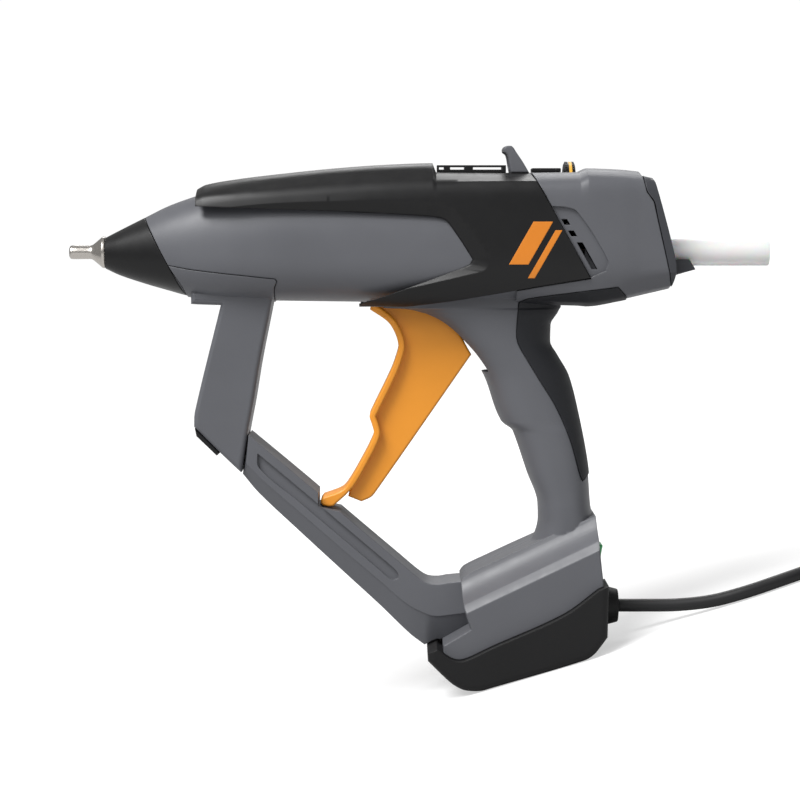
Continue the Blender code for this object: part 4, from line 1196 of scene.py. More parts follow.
@dataclass
class Studio:
    """The pale floor, the soft lights and the camera that stands square to the gun's side."""

    lens: float = 120.0
    reach: float = 1.12
    aim: Point2 = (138.2, -61.95)
    rise: float = 4.0

    def camera(self) -> Obj:
        """The camera, rolled so that the barrel lies level in the frame."""
        data = bpy.data.cameras.new("side_camera")
        data.lens = self.lens
        data.sensor_width = 36.0
        data.clip_end = 50.0
        camera = bpy.data.objects.new("side_camera", data)
        bpy.context.scene.collection.objects.link(camera)
        target = GUN @ Vector((self.aim[0], 0.0, self.aim[1]))
        right = (GUN.to_3x3() @ Vector((1.0, 0.0, 0.0))).normalized()
        top = (GUN.to_3x3() @ Vector((0.0, 0.0, 1.0))).normalized()
        angle = math.radians(self.rise)
        back = Vector((0.0, -1.0, 0.0)) * math.cos(angle) + top * math.sin(angle)
        up = back.cross(right).normalized()
        turn = Matrix((right, up, back)).transposed().to_4x4()
        camera.matrix_world = Matrix.Translation(target + back * self.reach) @ turn
        bpy.context.scene.camera = camera
        return camera

    def floor(self) -> Obj:
        """A wide matt floor at the height of the foot."""
        bm = bmesh.new()
        bmesh.ops.create_circle(bm, cap_ends=True, segments=96, radius=14.0)
        floor = solid(bm, "floor")
        floor.location.z = -0.0002
        material = bpy.data.materials.new("pale_floor")
        material.use_nodes = True
        w = Wiring(material.node_tree)
        shader = material.node_tree.nodes["Principled BSDF"]
        tone = w.mixed(w.noise(w.place(), 5.0), (0.47, 0.47, 0.47, 1.0), (0.5, 0.5, 0.5, 1.0))
        w.tree.links.new(tone, shader.inputs["Base Color"])
        shader.inputs["Emission Color"].default_value = (1.0, 1.0, 1.0, 1.0)
        glow = w.math("MULTIPLY", w.node("ShaderNodeLightPath").outputs["Is Camera Ray"], 0.52)
        w.tree.links.new(glow, shader.inputs["Emission Strength"])
        shader.inputs["Roughness"].default_value = 0.9
        shader.inputs["Specular IOR Level"].default_value = 0.1
        floor.data.materials.append(material)
        floor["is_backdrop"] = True
        return floor

    def light(self, name: str, place: Point3, size: Point2, power: float) -> None:
        """One soft box aimed at the gun."""
        data = bpy.data.lights.new(name, "AREA")
        data.shape = "RECTANGLE"
        data.size, data.size_y = size
        data.energy = power
        lamp = bpy.data.objects.new(name, data)
        lamp.location = place
        lamp.rotation_euler = (Vector((0.0, 0.0, 0.1)) - Vector(place)).to_track_quat("-Z", "Y").to_euler()
        bpy.context.scene.collection.objects.link(lamp)

    def sun(self) -> None:
        """A broad, even light from above that lays a soft shadow on the floor."""
        data = bpy.data.lights.new("sky_light", "SUN")
        data.energy = 3.2
        data.angle = math.radians(28.0)
        lamp = bpy.data.objects.new("sky_light", data)
        lamp.rotation_euler = Vector((-0.22, -0.42, 0.88)).to_track_quat("Z", "Y").to_euler()
        bpy.context.scene.collection.objects.link(lamp)

    def world(self) -> None:
        """White surroundings, dimmer as light than as background."""
        world = bpy.data.worlds.new("studio")
        world.use_nodes = True
        w = Wiring(world.node_tree)
        background = world.node_tree.nodes["Background"]
        ray = w.node("ShaderNodeLightPath").outputs["Is Camera Ray"]
        w.tree.links.new(w.math("ADD", w.math("MULTIPLY", ray, 0.72), 0.3), background.inputs["Strength"])
        background.inputs["Color"].default_value = (1.0, 1.0, 1.0, 1.0)
        bpy.context.scene.world = world
        bpy.context.scene.view_settings.view_transform = "Standard"

    def build(self) -> None:
        """Everything that isn't the gun."""
        self.camera()
        self.floor()
        self.world()
        self.sun()
        self.light("front_box", (-0.6, -1.3, 1.3), (1.1, 0.8), 9.0)
        self.light("rear_box", (0.5, 1.2, 1.1), (1.2, 0.7), 8.0)


# ---------------------------------------------------------------- cord


@dataclass
class MainsCord:
    """The mains cord on the floor, wound into a coil, with its tie, its strain relief and its plug."""

    diameter: float = 5.5
    lie: float = 2.9
    slots_apart: float = 5.7
    coil_centre: Point2 = (160.5, 28.0)
    approach: float = 42.75
    mean_radius: float = 31.0
    crossing: float = 40.0
    first_crossing: float = 225.0
    per_turn: int = 40
    bend: float = 22.0
    early: float = 12.0
    plug_x: float = 153.5
    plug_z: float = 24.3
    axis_z: float = CORD_AXIS
    order: tuple[tuple[int, int], ...] = ((1, 0), (0, 0), (-1, 0), (-1, 1), (-1, 2), (0, 2), (0, 1), (1, 1), (1, 2))
    path: list[Point3] = field(default_factory=list)

    def slot_place(self, slot: tuple[int, int]) -> Point2:
        """The radius and height of one slot of the coil."""
        return self.mean_radius + slot[0] * self.slots_apart, self.lie + slot[1] * self.slots_apart

    def coil_points(self) -> list[Point3]:
        """Points round the coil from where the cord comes in along the floor to where it leaves."""
        points = []
        total = 270.0 + 360.0 * (len(self.order) - 2)
        count = round(total / 360.0 * self.per_turn)
        for i in range(count + 1):
            angle = -90.0 + total * i / count
            radius, height = self.slot_place(self.order[0])
            for k in range(len(self.order) - 1):
                begin = 360.0 * k + self.first_crossing - self.crossing * k
                t = min(max((angle - begin) / self.crossing, 0.0), 1.0)
                t = t * t * (3 - 2 * t)
                r0, z0 = self.slot_place(self.order[k])
                r1, z1 = self.slot_place(self.order[k + 1])
                radius += (r1 - r0) * t
                height += (z1 - z0) * t
            t = min(max((angle + 90.0) / 60.0, 0.0), 1.0)
            radius += (self.approach - self.slot_place(self.order[0])[0]) * (1 - t * t * (3 - 2 * t))
            a = math.radians(angle)
            x, y = self.coil_centre
            points.append((x + radius * math.cos(a), y + radius * math.sin(a), height))
        return points

    def lead(self) -> list[Point3]:
        """The run from the strain relief along the floor to the coil."""
        start = GUN @ Vector((230.4, 0.0, self.axis_z)) / MM
        ahead = GUN @ Vector((242.0, 0.0, self.axis_z)) / MM
        x_coil = self.coil_centre[0]
        near = self.coil_centre[1] - self.approach
        line = [start, ahead, Vector((66.0, 0.0, 6.0)), Vector((80.0, 0.0, 3.5))]
        for x in (95.0, 110.0, 125.0, 140.0):
            t = (x - 84.0) / (x_coil - 84.0)
            line.append(Vector((x, near * t * t * (3 - 2 * t), self.lie)))
        line += [Vector((x_coil, near, self.lie)), Vector((x_coil + 10.6, near + 1.3, self.lie))]
        free: list[Point3] = []
        for i in range(len(line) - 2):
            p0, p1, p2, p3 = line[max(i - 1, 0)], line[i], line[i + 1], line[i + 2]
            for k in range(6):
                t = k / 6
                square, cubic = 2 * p0 - 5 * p1 + 4 * p2 - p3, 3 * p1 - p0 - 3 * p2 + p3
                free.append(tuple(0.5 * (2 * p1 + (p2 - p0) * t + square * t**2 + cubic * t**3)))
        return free

    def route(self) -> list[Point3]:
        """The whole centreline, in millimetres of the model's frame."""
        coil = self.coil_points()
        last = coil[-1]
        tail = []
        for i in range(1, 19):
            a = math.radians(5.0 * i)
            tail.append((last[0] + self.bend * (1 - math.cos(a)), last[1] - self.bend * math.sin(a), last[2]))
        x, y, z = tail[-1]
        tail += [(x + (self.plug_x + 6.0 - x) * i / 4, y, z) for i in range(1, 5)]
        whole = coil + tail
        along = [0.0]
        for p, q in zip(whole, whole[1:]):
            along.append(along[-1] + math.dist(p[:2], q[:2]))
        start_rise = along[len(coil) - 1] - self.early
        run = self.early + self.bend * math.pi / 2
        for i, (x, y, z) in enumerate(whole):
            t = min(max((along[i] - start_rise) / run, 0.0), 1.0)
            whole[i] = (x, y, z + (self.plug_z - last[2]) * t * t * (3 - 2 * t))
        return [(x, -y, z) for x, y, z in self.lead() + whole]

    def cord(self) -> Obj:
        """The cord as one curve of its real thickness."""
        self.path = self.route()
        curve = bpy.data.curves.new("mains_cord", "CURVE")
        curve.dimensions = "3D"
        curve.bevel_depth = self.diameter / 2 * MM
        curve.bevel_resolution = 4
        curve.use_fill_caps = True
        spline = curve.splines.new("POLY")
        spline.points.add(len(self.path) - 1)
        for point, place in zip(spline.points, self.path):
            point.co = (*(value * MM for value in place), 1.0)
        spline.use_smooth = True
        cord = bpy.data.objects.new("mains_cord", curve)
        bpy.context.scene.collection.objects.link(cord)
        curve.materials.append(Finish.CABLE.material())
        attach(cord, BODY)
        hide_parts("cord", "cord_coil", "cord_tail")
        return cord

    def length(self) -> float:
        """The centreline's length in metres."""
        return sum(math.dist(a, b) for a, b in zip(self.path, self.path[1:])) * MM

    def flat(self, obj: Obj, name: str, slot: str, *nodes: str) -> Obj:
        """Set down a piece that was built in mirror image in the model's frame, in millimetres."""
        obj.data.transform(GUN.inverted() @ Matrix.Scale(MM, 4) @ Matrix.Scale(-1.0, 4, (0.0, 1.0, 0.0)))
        obj.data.flip_normals()
        return settled(obj, name, BODY, slot, *nodes)

    def tie(self) -> Obj:
        """The band that holds the coil."""
        x, y = self.coil_centre
        x0, x1 = x + self.mean_radius - 10.15, x + self.mean_radius + 10.25
        band = rounded(box(x0, x1, y - 3.0, y + 3.0, 0.0, 18.7), 1.2, segments=4)
        cut(band, rounded(box(x0 + 1.5, x1 - 1.5, y - 9.0, y + 9.0, 1.0, 17.3), 0.9, segments=3))
        return Finish.BLACK.on(self.flat(band, "coil_band", "black", "coil_tie"))

    def plug(self) -> list[Obj]:
        """The plug's body with its grooves, and its two pins."""
        base = self.plug_x
        y = self.coil_centre[1] - self.bend
        z = self.plug_z
        profile = [
            (base, 3.3), (base + 0.4, 3.9), (base + 10.6, 4.5), (base + 11.2, 5.2), (base + 13.5, 7.6),
            (base + 16.0, 9.4), (base + 24.0, 10.6), (base + 34.0, 12.2), (base + 39.0, 12.9), (base + 40.4, 12.8),
            (base + 41.6, 12.2), (base + 42.0, 11.4),
        ]
        smooth = curved(profile, 1.0, 42.0, closed=False)
        body = turned(smooth, "X", y=y, z=z, count=72)
        shared(body, rounded(box(base - 2.0, base + 50.0, y - 20.0, y + 20.0, z - 7.0, z + 7.0), 2.2, segments=5))
        for x in (base + 2.2, base + 4.6, base + 7.0):
            groove = turned([(x, 6.0), (x + 1.1, 6.0)], "X", y=y, z=z)
            cut(groove, turned([(x - 1.0, 3.3), (x + 2.0, 3.3)], "X", y=y, z=z))
            cut(groove, box(x - 1.0, x + 2.0, y - 1.0, y + 1.0, z - 7.0, z + 7.0))
            cut(body, groove)
        made = [Finish.BLACK.on(self.flat(body, "plug_body", "black", "plug"))]
        for i, dy in enumerate((9.5, -9.5)):
            pin = turned(
                [(base + 42.3, 2.4), (base + 58.6, 2.4), (base + 59.8, 2.25), (base + 60.6, 1.8), (base + 61.0, 1.2)],
                "X", y=y + dy, z=z, count=40,
            )
            made.append(Finish.BRASS.on(self.flat(pin, f"plug_pin_{i + 1}_turned", "brass", f"plug_pin_{i + 1}")))
        return made

    def relief(self) -> Obj:
        """The tapered strain relief with its collar."""
        z = self.axis_z
        line = [
            (208.0, 5.0), (209.0, 5.3), (212.0, 6.0), (224.25, 6.0), (224.3, 7.7), (224.5, 8.05), (224.9, 8.2),
            (229.2, 7.1), (229.7, 6.9), (230.0, 6.55), (230.1, 6.0),
        ]
        body = turned(line, "X", z=z, count=72)
        cut(body, turned([(205.0, 2.85), (235.0, 2.85)], "X", z=z, count=48))
        return Finish.RUBBER.on(settled(body, "relief_sleeve", BODY, "rubber", "strain_relief"))

    def build(self) -> list[Obj]:
        """The cord and all that goes with it."""
        cord = self.cord()
        tie = self.tie()
        plug = self.plug()
        relief = self.relief()
        exit_point = [value * MM for value in self.path[0]]
        round(self.length(), 3)
        return [cord, tie, relief, *plug]


# ---------------------------------------------------------------- the gun's sub-assemblies


SCREW_SIZES = {"shank": 1.5, "head": 3.0}


def in_halves(obj: Obj) -> tuple[Obj, Obj]:
    """The left and the right half of a shell, a seam apart."""
    right = copied(obj)
    shared(obj, box(-20.0, 320.0, -70.0, -GAP / 2, -210.0, 70.0))
    shared(right, box(-20.0, 320.0, GAP / 2, 70.0, -210.0, 70.0))
    return obj, right


def screw_wells() -> list[Obj]:
    """Cutters for the screws' heads and shanks."""
    wells = []
    for x, z in SCREWS:
        for part, start, end, count in (("head", 8.0, 45.0, 40), ("shank", -12.5, 9.0, 24)):
            radius = SCREW_SIZES[part] + GAP
            wells.append(turned([(start, radius), (end, radius)], "Y", x=x, z=z, count=count))
    return wells


@dataclass
class Housing:
    """The grey moulding in two halves: barrel, rear housing, grip and base."""

    body: Body
    pivot: Point2 = TRIGGER_PIVOT
    pin: float = PIN_RADIUS
    trigger_half: float = 10.8
    wheel_centre: float = WHEEL_CENTRE
    wheel: float = WHEEL_RADIUS
    switch_half: float = 6.8
    vents: tuple[Outline, ...] = (
        ((204.0, 13.9), (206.4, 13.9), (207.8, 11.6), (205.4, 11.6)),
        ((206.8, 9.2), (209.2, 9.2), (210.6, 6.9), (208.2, 6.9)),
        ((210.4, 4.4), (212.8, 4.4), (219.0, -6.6), (216.6, -6.6)),
    )

    def cavity(self) -> Obj:
        """The hollow inside, less the screw posts and the trigger's bearings."""
        wall = self.body.wall
        hollow = self.body.barrel(CORE, -wall, fine=False)
        join(hollow, self.body.rear_end(-wall, False, REAR_CAVITY), self.body.handle(-wall, fine=False))
        for x, z in SCREWS:
            radius = SCREW_SIZES["head"] + GAP + 1.3
            cut(hollow, turned([(-45.0, radius), (45.0, radius)], "Y", x=x, z=z, count=40))
        x, z = self.pivot
        for side in (-1.0, 1.0):
            cut(hollow, turned([(side * 14.9, 4.3), (side * 45.0, 4.3)], "Y", x=x, z=z, count=40))
        return hollow

    def build(self) -> list[Obj]:
        """Both halves."""
        shell = self.body.barrel(CORE)
        join(shell, self.body.rear_end(), self.body.handle())
        cut(shell, self.cavity())
        x, z = self.pivot
        cut(shell, turned([(-19.0, self.pin + GAP), (19.0, self.pin + GAP)], "Y", x=x, z=z, count=32))
        ahead = ((0.0, 40.0), (19.2, 40.0), (32.1, 14.7), (49.5, -18.0), (49.5, -40.0), (0.0, -40.0))
        cut(shell, prism(ahead, -40.0, 40.0))
        cut(shell, prism(inset(curved(CLIP_REGION), -GAP), -40.0, 40.0))
        half = self.trigger_half
        cut(shell, box(124.4, 177.5, -half, half, -49.6, -12.0))
        slot = math.sqrt(self.wheel**2 - (30.6 - self.wheel_centre) ** 2) + 0.6
        cut(shell, rounded(box(205.5, 211.8, -slot, slot, 27.0, 50.0), 1.2, segments=3))
        cut(shell, turned([(200.0, 12.0), (270.0, 12.0)]))
        cut(shell, rounded(box(212.0, 232.0, -self.switch_half, self.switch_half, -142.6, -120.2), 1.0, segments=3))
        below = [*curved(BOOT_LINE, closed=False), (240.0, -130.0), (240.0, -200.0), (140.0, -200.0), (140.0, -162.1)]
        cut(shell, prism(below, -60.0, 60.0))
        pocket = self.body.housing(3.0)
        cut(pocket, self.body.housing(-1.3))
        shared(pocket, prism(inset(curved(POCKET, 1.0, 55.0), 0.2), -60.0, 60.0))
        cut(shell, pocket)
        for side in (-1.0, 1.0):
            for outline in self.vents:
                cut(shell, prism(outline, side * 20.0, side * 35.0))
        recess = prism(inset(curved(PAD, 1.2, 30.0), -GAP), -61.0, 61.0)
        cut(recess, self.body.outside(-1.4))
        cut(shell, recess, *screw_wells())
        left, right = in_halves(shell)
        return [
            Finish.GREY.on(settled(left, "shell_left", BODY, "grey", "housing_left")),
            Finish.GREY.on(settled(right, "shell_right", BODY, "grey", "housing_right")),
        ]


@dataclass
class Cover:
    """The black upper cover, with its bevelled window and its slanted orange stripe."""

    body: Body
    stripe: tuple[Outline, ...] = (
        ((192.6, 12.9), (200.6, 12.9), (190.6, -4.6), (182.6, -4.6)),
        ((201.6, 9.4), (204.4, 9.4), (193.2, -10.2), (190.4, -10.2)),
    )

    def panel(self, side: float) -> Obj:
        """A cutter for the window round the side panel, with its bevel."""
        inner, outer = paired(PANEL_INNER, PANEL_OUTER)
        face = self.body.barrel_half
        deep = self.body.cover_thickness + 0.1
        rings = []
        for y, line in ((1.0, inner), (face + 0.1, inner), (face + deep, outer), (60.0, outer)):
            rings.append([(x, side * y, z) for x, z in line])
        return loft(rings)

    def build(self) -> list[Obj]:
        """Both halves and the stripe on each."""
        shell = self.body.hood()
        cut(shell, self.body.hood(-2.2), self.body.barrel(CORE, GAP), self.body.handle(GAP))
        cut(shell, box(60.0, 240.0, -19.0, 19.0, -60.0, -14.0))
        shared(shell, prism(curved(COVER_REGION, 2.0, 24.0), -60.0, 60.0))
        cut(shell, self.panel(-1.0), self.panel(1.0))
        left, right = in_halves(shell)
        made = [
            Finish.BLACK.on(settled(left, "hood_left", BODY, "black", "cover_left")),
            Finish.BLACK.on(settled(right, "hood_right", BODY, "black", "cover_right")),
        ]
        for side, word in ((-1.0, "left"), (1.0, "right")):
            film = self.body.hood(0.08)
            cut(film, self.body.hood(-0.25))
            marks = prism(self.stripe[0], side * 20.0, side * 40.0)
            join(marks, prism(self.stripe[1], side * 20.0, side * 40.0))
            shared(film, marks)
            made.append(Finish.PRINT.on(settled(film, f"stripe_{word}", BODY, "orange")))
        return made


@dataclass
class Nose:
    """The black nose cap and the steel nozzle."""

    body: Body

    def build(self) -> list[Obj]:
        """The cap and the nozzle."""
        cap = self.body.barrel(CORE)
        cut(cap, self.body.barrel(CORE, -2.4, fine=False), turned([(10.0, 5.4), (40.0, 5.4)]))
        side = ((10.0, 40.0), (18.8, 40.0), (31.8, 14.5), (49.2, -18.0), (49.2, -40.0), (10.0, -40.0))
        shared(cap, prism(side, -40.0, 40.0))
        line = curved(
            [(0.0, 1.9), (0.25, 2.45), (0.9, 2.85), (8.9, 2.85), (9.6, 3.05), (10.2, 3.45), (13.4, 6.15), (13.9, 6.6),
             (14.9, 6.6)],
            0.5, 50.0, closed=False,
        )
        nozzle = turned([*line, (14.91, 4.8), (22.0, 4.8)], count=96)
        cut(nozzle, turned([(-1.0, 1.2), (8.5, 1.2), (10.5, 3.2), (23.0, 3.2)], count=48))
        return [
            Finish.BLACK.on(settled(cap, "nose_shell", BODY, "black", "nose_cap")),
            Finish.STEEL.on(settled(nozzle, "nozzle_turned", BODY, "steel", "nozzle")),
        ]


@dataclass
class FrontHandle:
    """The clip on the nose, the front strut, the elbow pad and the lower strut."""

    body: Body
    half: float = 14.0
    pivot: Point2 = TRIGGER_PIVOT
    toe: Point2 = (106.1, -105.4)
    tongue: float = 7.0
    groove: Outline = (
        (79.0, -83.2), (96.2, -97.6), (113.0, -111.9), (129.8, -126.2), (136.2, -131.8), (137.6, -133.8),
        (137.4, -135.6), (135.6, -136.2), (133.4, -135.2), (129.8, -132.0), (113.0, -117.7), (96.2, -103.4),
        (79.6, -89.2),
    )

    def bracket(self) -> Obj:
        """The clip and the strut that comes down from it."""
        clip = self.body.barrel(CORE, 0.5)
        shared(clip, prism(curved(CLIP_REGION, 1.2, 50.0), -40.0, 40.0))
        join(clip, slab(curved(UPPER_STRUT, 2.0, 24.0), self.half, 2.0, 5))
        cut(clip, self.body.barrel(CORE, -self.body.wall, fine=False))
        return Finish.GREY.on(settled(clip, "bracket_shell", BODY, "grey", "front_bracket"))

    def lower(self) -> Obj:
        """The lower strut with its crest, its groove and the notch that the trigger's foot sweeps."""
        lines = (LOWER_RIDGE, LOWER_STRUT)
        longer = [[(x + self.tongue if x > 162.0 else x, z) for x, z in line] for line in lines]
        ridge, crest = paired(*longer)
        half, inner = self.half, self.half - 4.5
        rings = []
        edge = ((half, inset(ridge, 0.45)), (half - 0.15, inset(ridge, 0.12)), (half - 0.5, ridge), (inner, crest))
        for y, line in [(-y, line) for y, line in edge] + list(reversed(edge)):
            rings.append([(x, y, z) for x, z in line])
        strut = loft(rings)
        for side in (-1.0, 1.0):
            cut(strut, prism(curved(self.groove, 1.0, 50.0), side * (half - 1.6), side * 30.0))
        x, z = self.pivot
        reach = math.dist(self.toe, self.pivot) + 0.5
        cut(strut, self.body.handle(-0.5))
        sweep = turned([(-40.0, reach), (40.0, reach)], "Y", x=x, z=z, count=256)
        shared(sweep, box(104.2, 116.0, -50.0, 50.0, -120.0, -90.0))
        cut(strut, sweep)
        return Finish.GREY.on(settled(strut, "strut_shell", BODY, "grey", "lower_strut"))

    def build(self) -> list[Obj]:
        """The bracket, the pad and the strut."""
        pad = slab(curved(ELBOW, 1.0, 24.0), self.half - 1.0, 0.4, 3)
        strip = Finish.RUBBER.on(settled(pad, "elbow_strip", BODY, "rubber", "elbow_pad"))
        return [self.bracket(), self.lower(), strip]


@dataclass
class Trigger:
    """The orange trigger with its broad front, its web and the fork that drives the feed."""

    pivot: Point2 = TRIGGER_PIVOT
    web_half: float = 6.0
    flange_half: float = 10.0
    flange: float = 2.7
    arm: float = 23.5
    arm_thickness: float = 3.2
    carriage_half: float = 10.5
    lean: float = 12.0
    pin: float = PIN_RADIUS

    def front(self) -> Obj:
        """The broad face that the fingers pull, with rounded sides."""
        back = []
        line = TRIGGER_FRONT
        for i, (x, z) in enumerate(line):
            before, after = line[max(i - 1, 0)], line[min(i + 1, len(line) - 1)]
            run = Vector((after[0] - before[0], after[1] - before[1])).normalized()
            back.append((x - run.y * self.flange, z + run.x * self.flange))
        back[0] = (126.4, -20.4)
        face = curved(line, 1.0, 50.0, closed=False)
        rear = curved(list(reversed(back[:-1])), 1.0, 50.0, closed=False)
        outline = [*face, (105.1, -103.4), (105.1, -104.5), TRIGGER_TOE, (108.2, -105.9), (110.3, -105.7), *rear]
        return slab(outline, self.flange_half, 0.9, 5)

    def leaning(self) -> tuple[Vector, Vector]:
        """The directions along and across the leaning arms."""
        lean = math.radians(self.lean)
        return Vector((math.sin(lean), math.cos(lean))), Vector((math.cos(lean), -math.sin(lean)))

    def fork(self) -> list[Obj]:
        """The two arms that reach up to the feed carriage."""
        inner = self.carriage_half + 0.6
        outer = inner + self.arm_thickness
        along, across = self.leaning()
        foot = Vector(self.pivot)
        length = self.arm / along.y + 5.2
        arms = []
        for side in (-1.0, 1.0):
            end = foot + along * length
            corners = [foot - across * 3.0, foot + across * 3.0, end + across * 4.6, end - across * 4.6]
            arms.append(prism([tuple(c) for c in corners], side * inner, side * outer))
        return arms

    def build(self) -> list[Obj]:
        """The trigger in one piece."""
        x, z = self.pivot
        outer = self.carriage_half + 0.6 + self.arm_thickness
        trigger = self.front()
        join(trigger, slab(curved(TRIGGER_WEB, 1.2, 40.0), self.web_half, 1.0, 4))
        join(trigger, turned([(-self.web_half, 4.2), (self.web_half, 4.2)], "Y", x=x, z=z))
        join(trigger, turned([(-outer, 3.4), (outer, 3.4)], "Y", x=x, z=z), *self.fork())
        along, across = self.leaning()
        middle = Vector(self.pivot) + along * (self.arm / along.y)
        slot = []
        for i in range(48):
            a = 2 * math.pi * (i + 0.5) / 48
            reach = self.pin + GAP + 0.05
            shift = 0.9 if math.cos(a) > 0 else -0.9
            slot.append(tuple(middle + along * (reach * math.cos(a) + shift) + across * (reach * math.sin(a))))
        hole = turned([(-40.0, self.pin + GAP), (40.0, self.pin + GAP)], "Y", x=x, z=z, count=32)
        cut(trigger, prism(slot, -40.0, 40.0), hole)
        return [Finish.ORANGE.on(settled(trigger, "trigger_lever", "trigger_body", "orange", "trigger"))]


@dataclass
class TopDetails:
    """The rail with its three openings, the hanging loop, the thumbwheel and the small window behind it."""

    wheel: float = WHEEL_RADIUS
    wheel_centre: float = WHEEL_CENTRE
    wheel_span: Point2 = (206.3, 211.0)
    ribs: int = 44

    def rail(self) -> list[Obj]:
        """The rail and the window."""
        rail = box(153.6, 182.2, -6.5, 6.5, 33.1, 36.2)
        for x0, x1 in ((154.4, 156.5), (159.0, 165.0), (168.5, 180.6)):
            cut(rail, box(x0, x1, -20.0, 20.0, 34.4, 35.5))
        rounded(rail, 0.25)
        window = rounded(box(193.0, 205.0, -6.5, 6.5, 33.2, 35.0), 0.4, segments=3)
        return [
            Finish.BLACK.on(settled(rail, "rail_moulded", BODY, "black", "top_rail")),
            Finish.BLACK.on(settled(window, "window_moulded", BODY, "black", "adjuster_window")),
        ]

    def loop(self) -> Obj:
        """The hooked loop that the gun hangs by."""
        line = [
            (181.0, 42.9), (181.5, 43.8), (182.4, 44.1), (184.2, 44.1), (185.1, 43.3), (185.9, 42.0), (189.0, 37.4),
            (191.6, 33.0), (184.0, 33.0), (183.4, 36.2), (182.5, 40.5), (181.2, 41.6),
        ]
        fin = slab(curved(line, 0.8, 40.0), 12.0, 0.7, 4)
        cut(fin, rounded(box(170.0, 200.0, -8.0, 8.0, 34.7, 42.0), 1.0, segments=3))
        return Finish.LIGHT.on(settled(fin, "loop_moulded", BODY, "light", "hanging_loop"))

    def thumbwheel(self) -> list[Obj]:
        """The ribbed wheel with its yellow line."""
        x0, x1 = self.wheel_span
        r, z = self.wheel - 0.3, self.wheel_centre
        disc = turned(
            [(x0, r - 1.0), (x0 + 0.15, r - 0.55), (x0 + 0.5, r - 0.15), (x0 + 1.0, r), (x1 - 1.0, r),
             (x1 - 0.5, r - 0.15), (x1 - 0.15, r - 0.55), (x1, r - 1.0)],
            z=z, count=128,
        )
        cut(disc, turned([(200.0, 1.6), (214.0, 1.6)], z=z, count=32))
        black = Finish.BLACK.on(settled(disc, "thumbwheel_disc", "wheel", "black", "thumbwheel"))
        values = {
            "Count": self.ribs, "Radius": r, "Rib": (0.5, 0.75, 1.0), "Rings": 2, "Pitch": 2.7,
            "Finish": Finish.BLACK.material(),
        }
        ribs = turned_onto(grown("thumbwheel_ribs", ring_tree(), values), x0 + 1.0, 0.0, z)
        settled(ribs, "thumbwheel_ribs", "wheel", "black")
        band = turned([(208.3, r - 0.6), (208.35, r + 0.24), (209.65, r + 0.24), (209.7, r - 0.6)], z=z, count=128)
        cut(band, turned([(208.0, r - 1.0), (210.0, r - 1.0)], z=z, count=128))
        yellow = Finish.YELLOW.on(settled(band, "thumbwheel_line", "wheel", "black"))
        return [black, ribs, yellow]

    def build(self) -> list[Obj]:
        """All the details on the top."""
        return [*self.rail(), self.loop(), *self.thumbwheel()]


@dataclass
class LoadingEnd:
    """The rear cap and the stick of glue in it."""

    body: Body
    stick: Point2 = (44.0, 292.3)

    def build(self) -> list[Obj]:
        """The cap and the stick."""
        cap = shared(self.body.housing(0.3), prism(curved(REAR_CAP, 1.2, 40.0), -60.0, 60.0))
        join(cap, slab(curved(CAP_LIP, 1.0, 40.0), 9.0, 0.8, 4))
        cut(cap, turned([(230.0, BORE_RADIUS), (270.0, BORE_RADIUS)]))
        cap = Finish.CAP.on(settled(cap, "cap_moulded", BODY, "cap", "rear_cap"))
        start, end = self.stick
        r = STICK_RADIUS
        line = [(start, 3.6), (start + 0.4, 4.7), (start + 1.2, r)]
        line += [(x, r - 0.03 * math.sin(x * 0.35) ** 2) for x in steps(start + 6.0, end - 2.0, 2.0)]
        line += [(end - 0.5, r), (end - 0.12, r - 0.12), (end, r - 0.5), (end - 0.02, r - 1.2), (end - 0.05, 0.6)]
        stick = turned(line, count=72)
        return [cap, Finish.GLUE.on(settled(stick, "stick_of_glue", "stick", "glue", "glue_stick", smooth=50.0))]


@dataclass
class Grip:
    """The soft pad over the back of the grip."""

    body: Body

    def build(self) -> list[Obj]:
        """The pad with its rounded edge."""
        outline = curved(PAD, 1.0, 30.0)
        pad = shared(self.body.outside(0.5), prism(outline, -61.0, 61.0))
        cut(pad, self.body.outside(-1.1), *screw_wells())
        return [Finish.SOFT.on(settled(pad, "grip_skin", BODY, "rubber", "grip_pad"))]


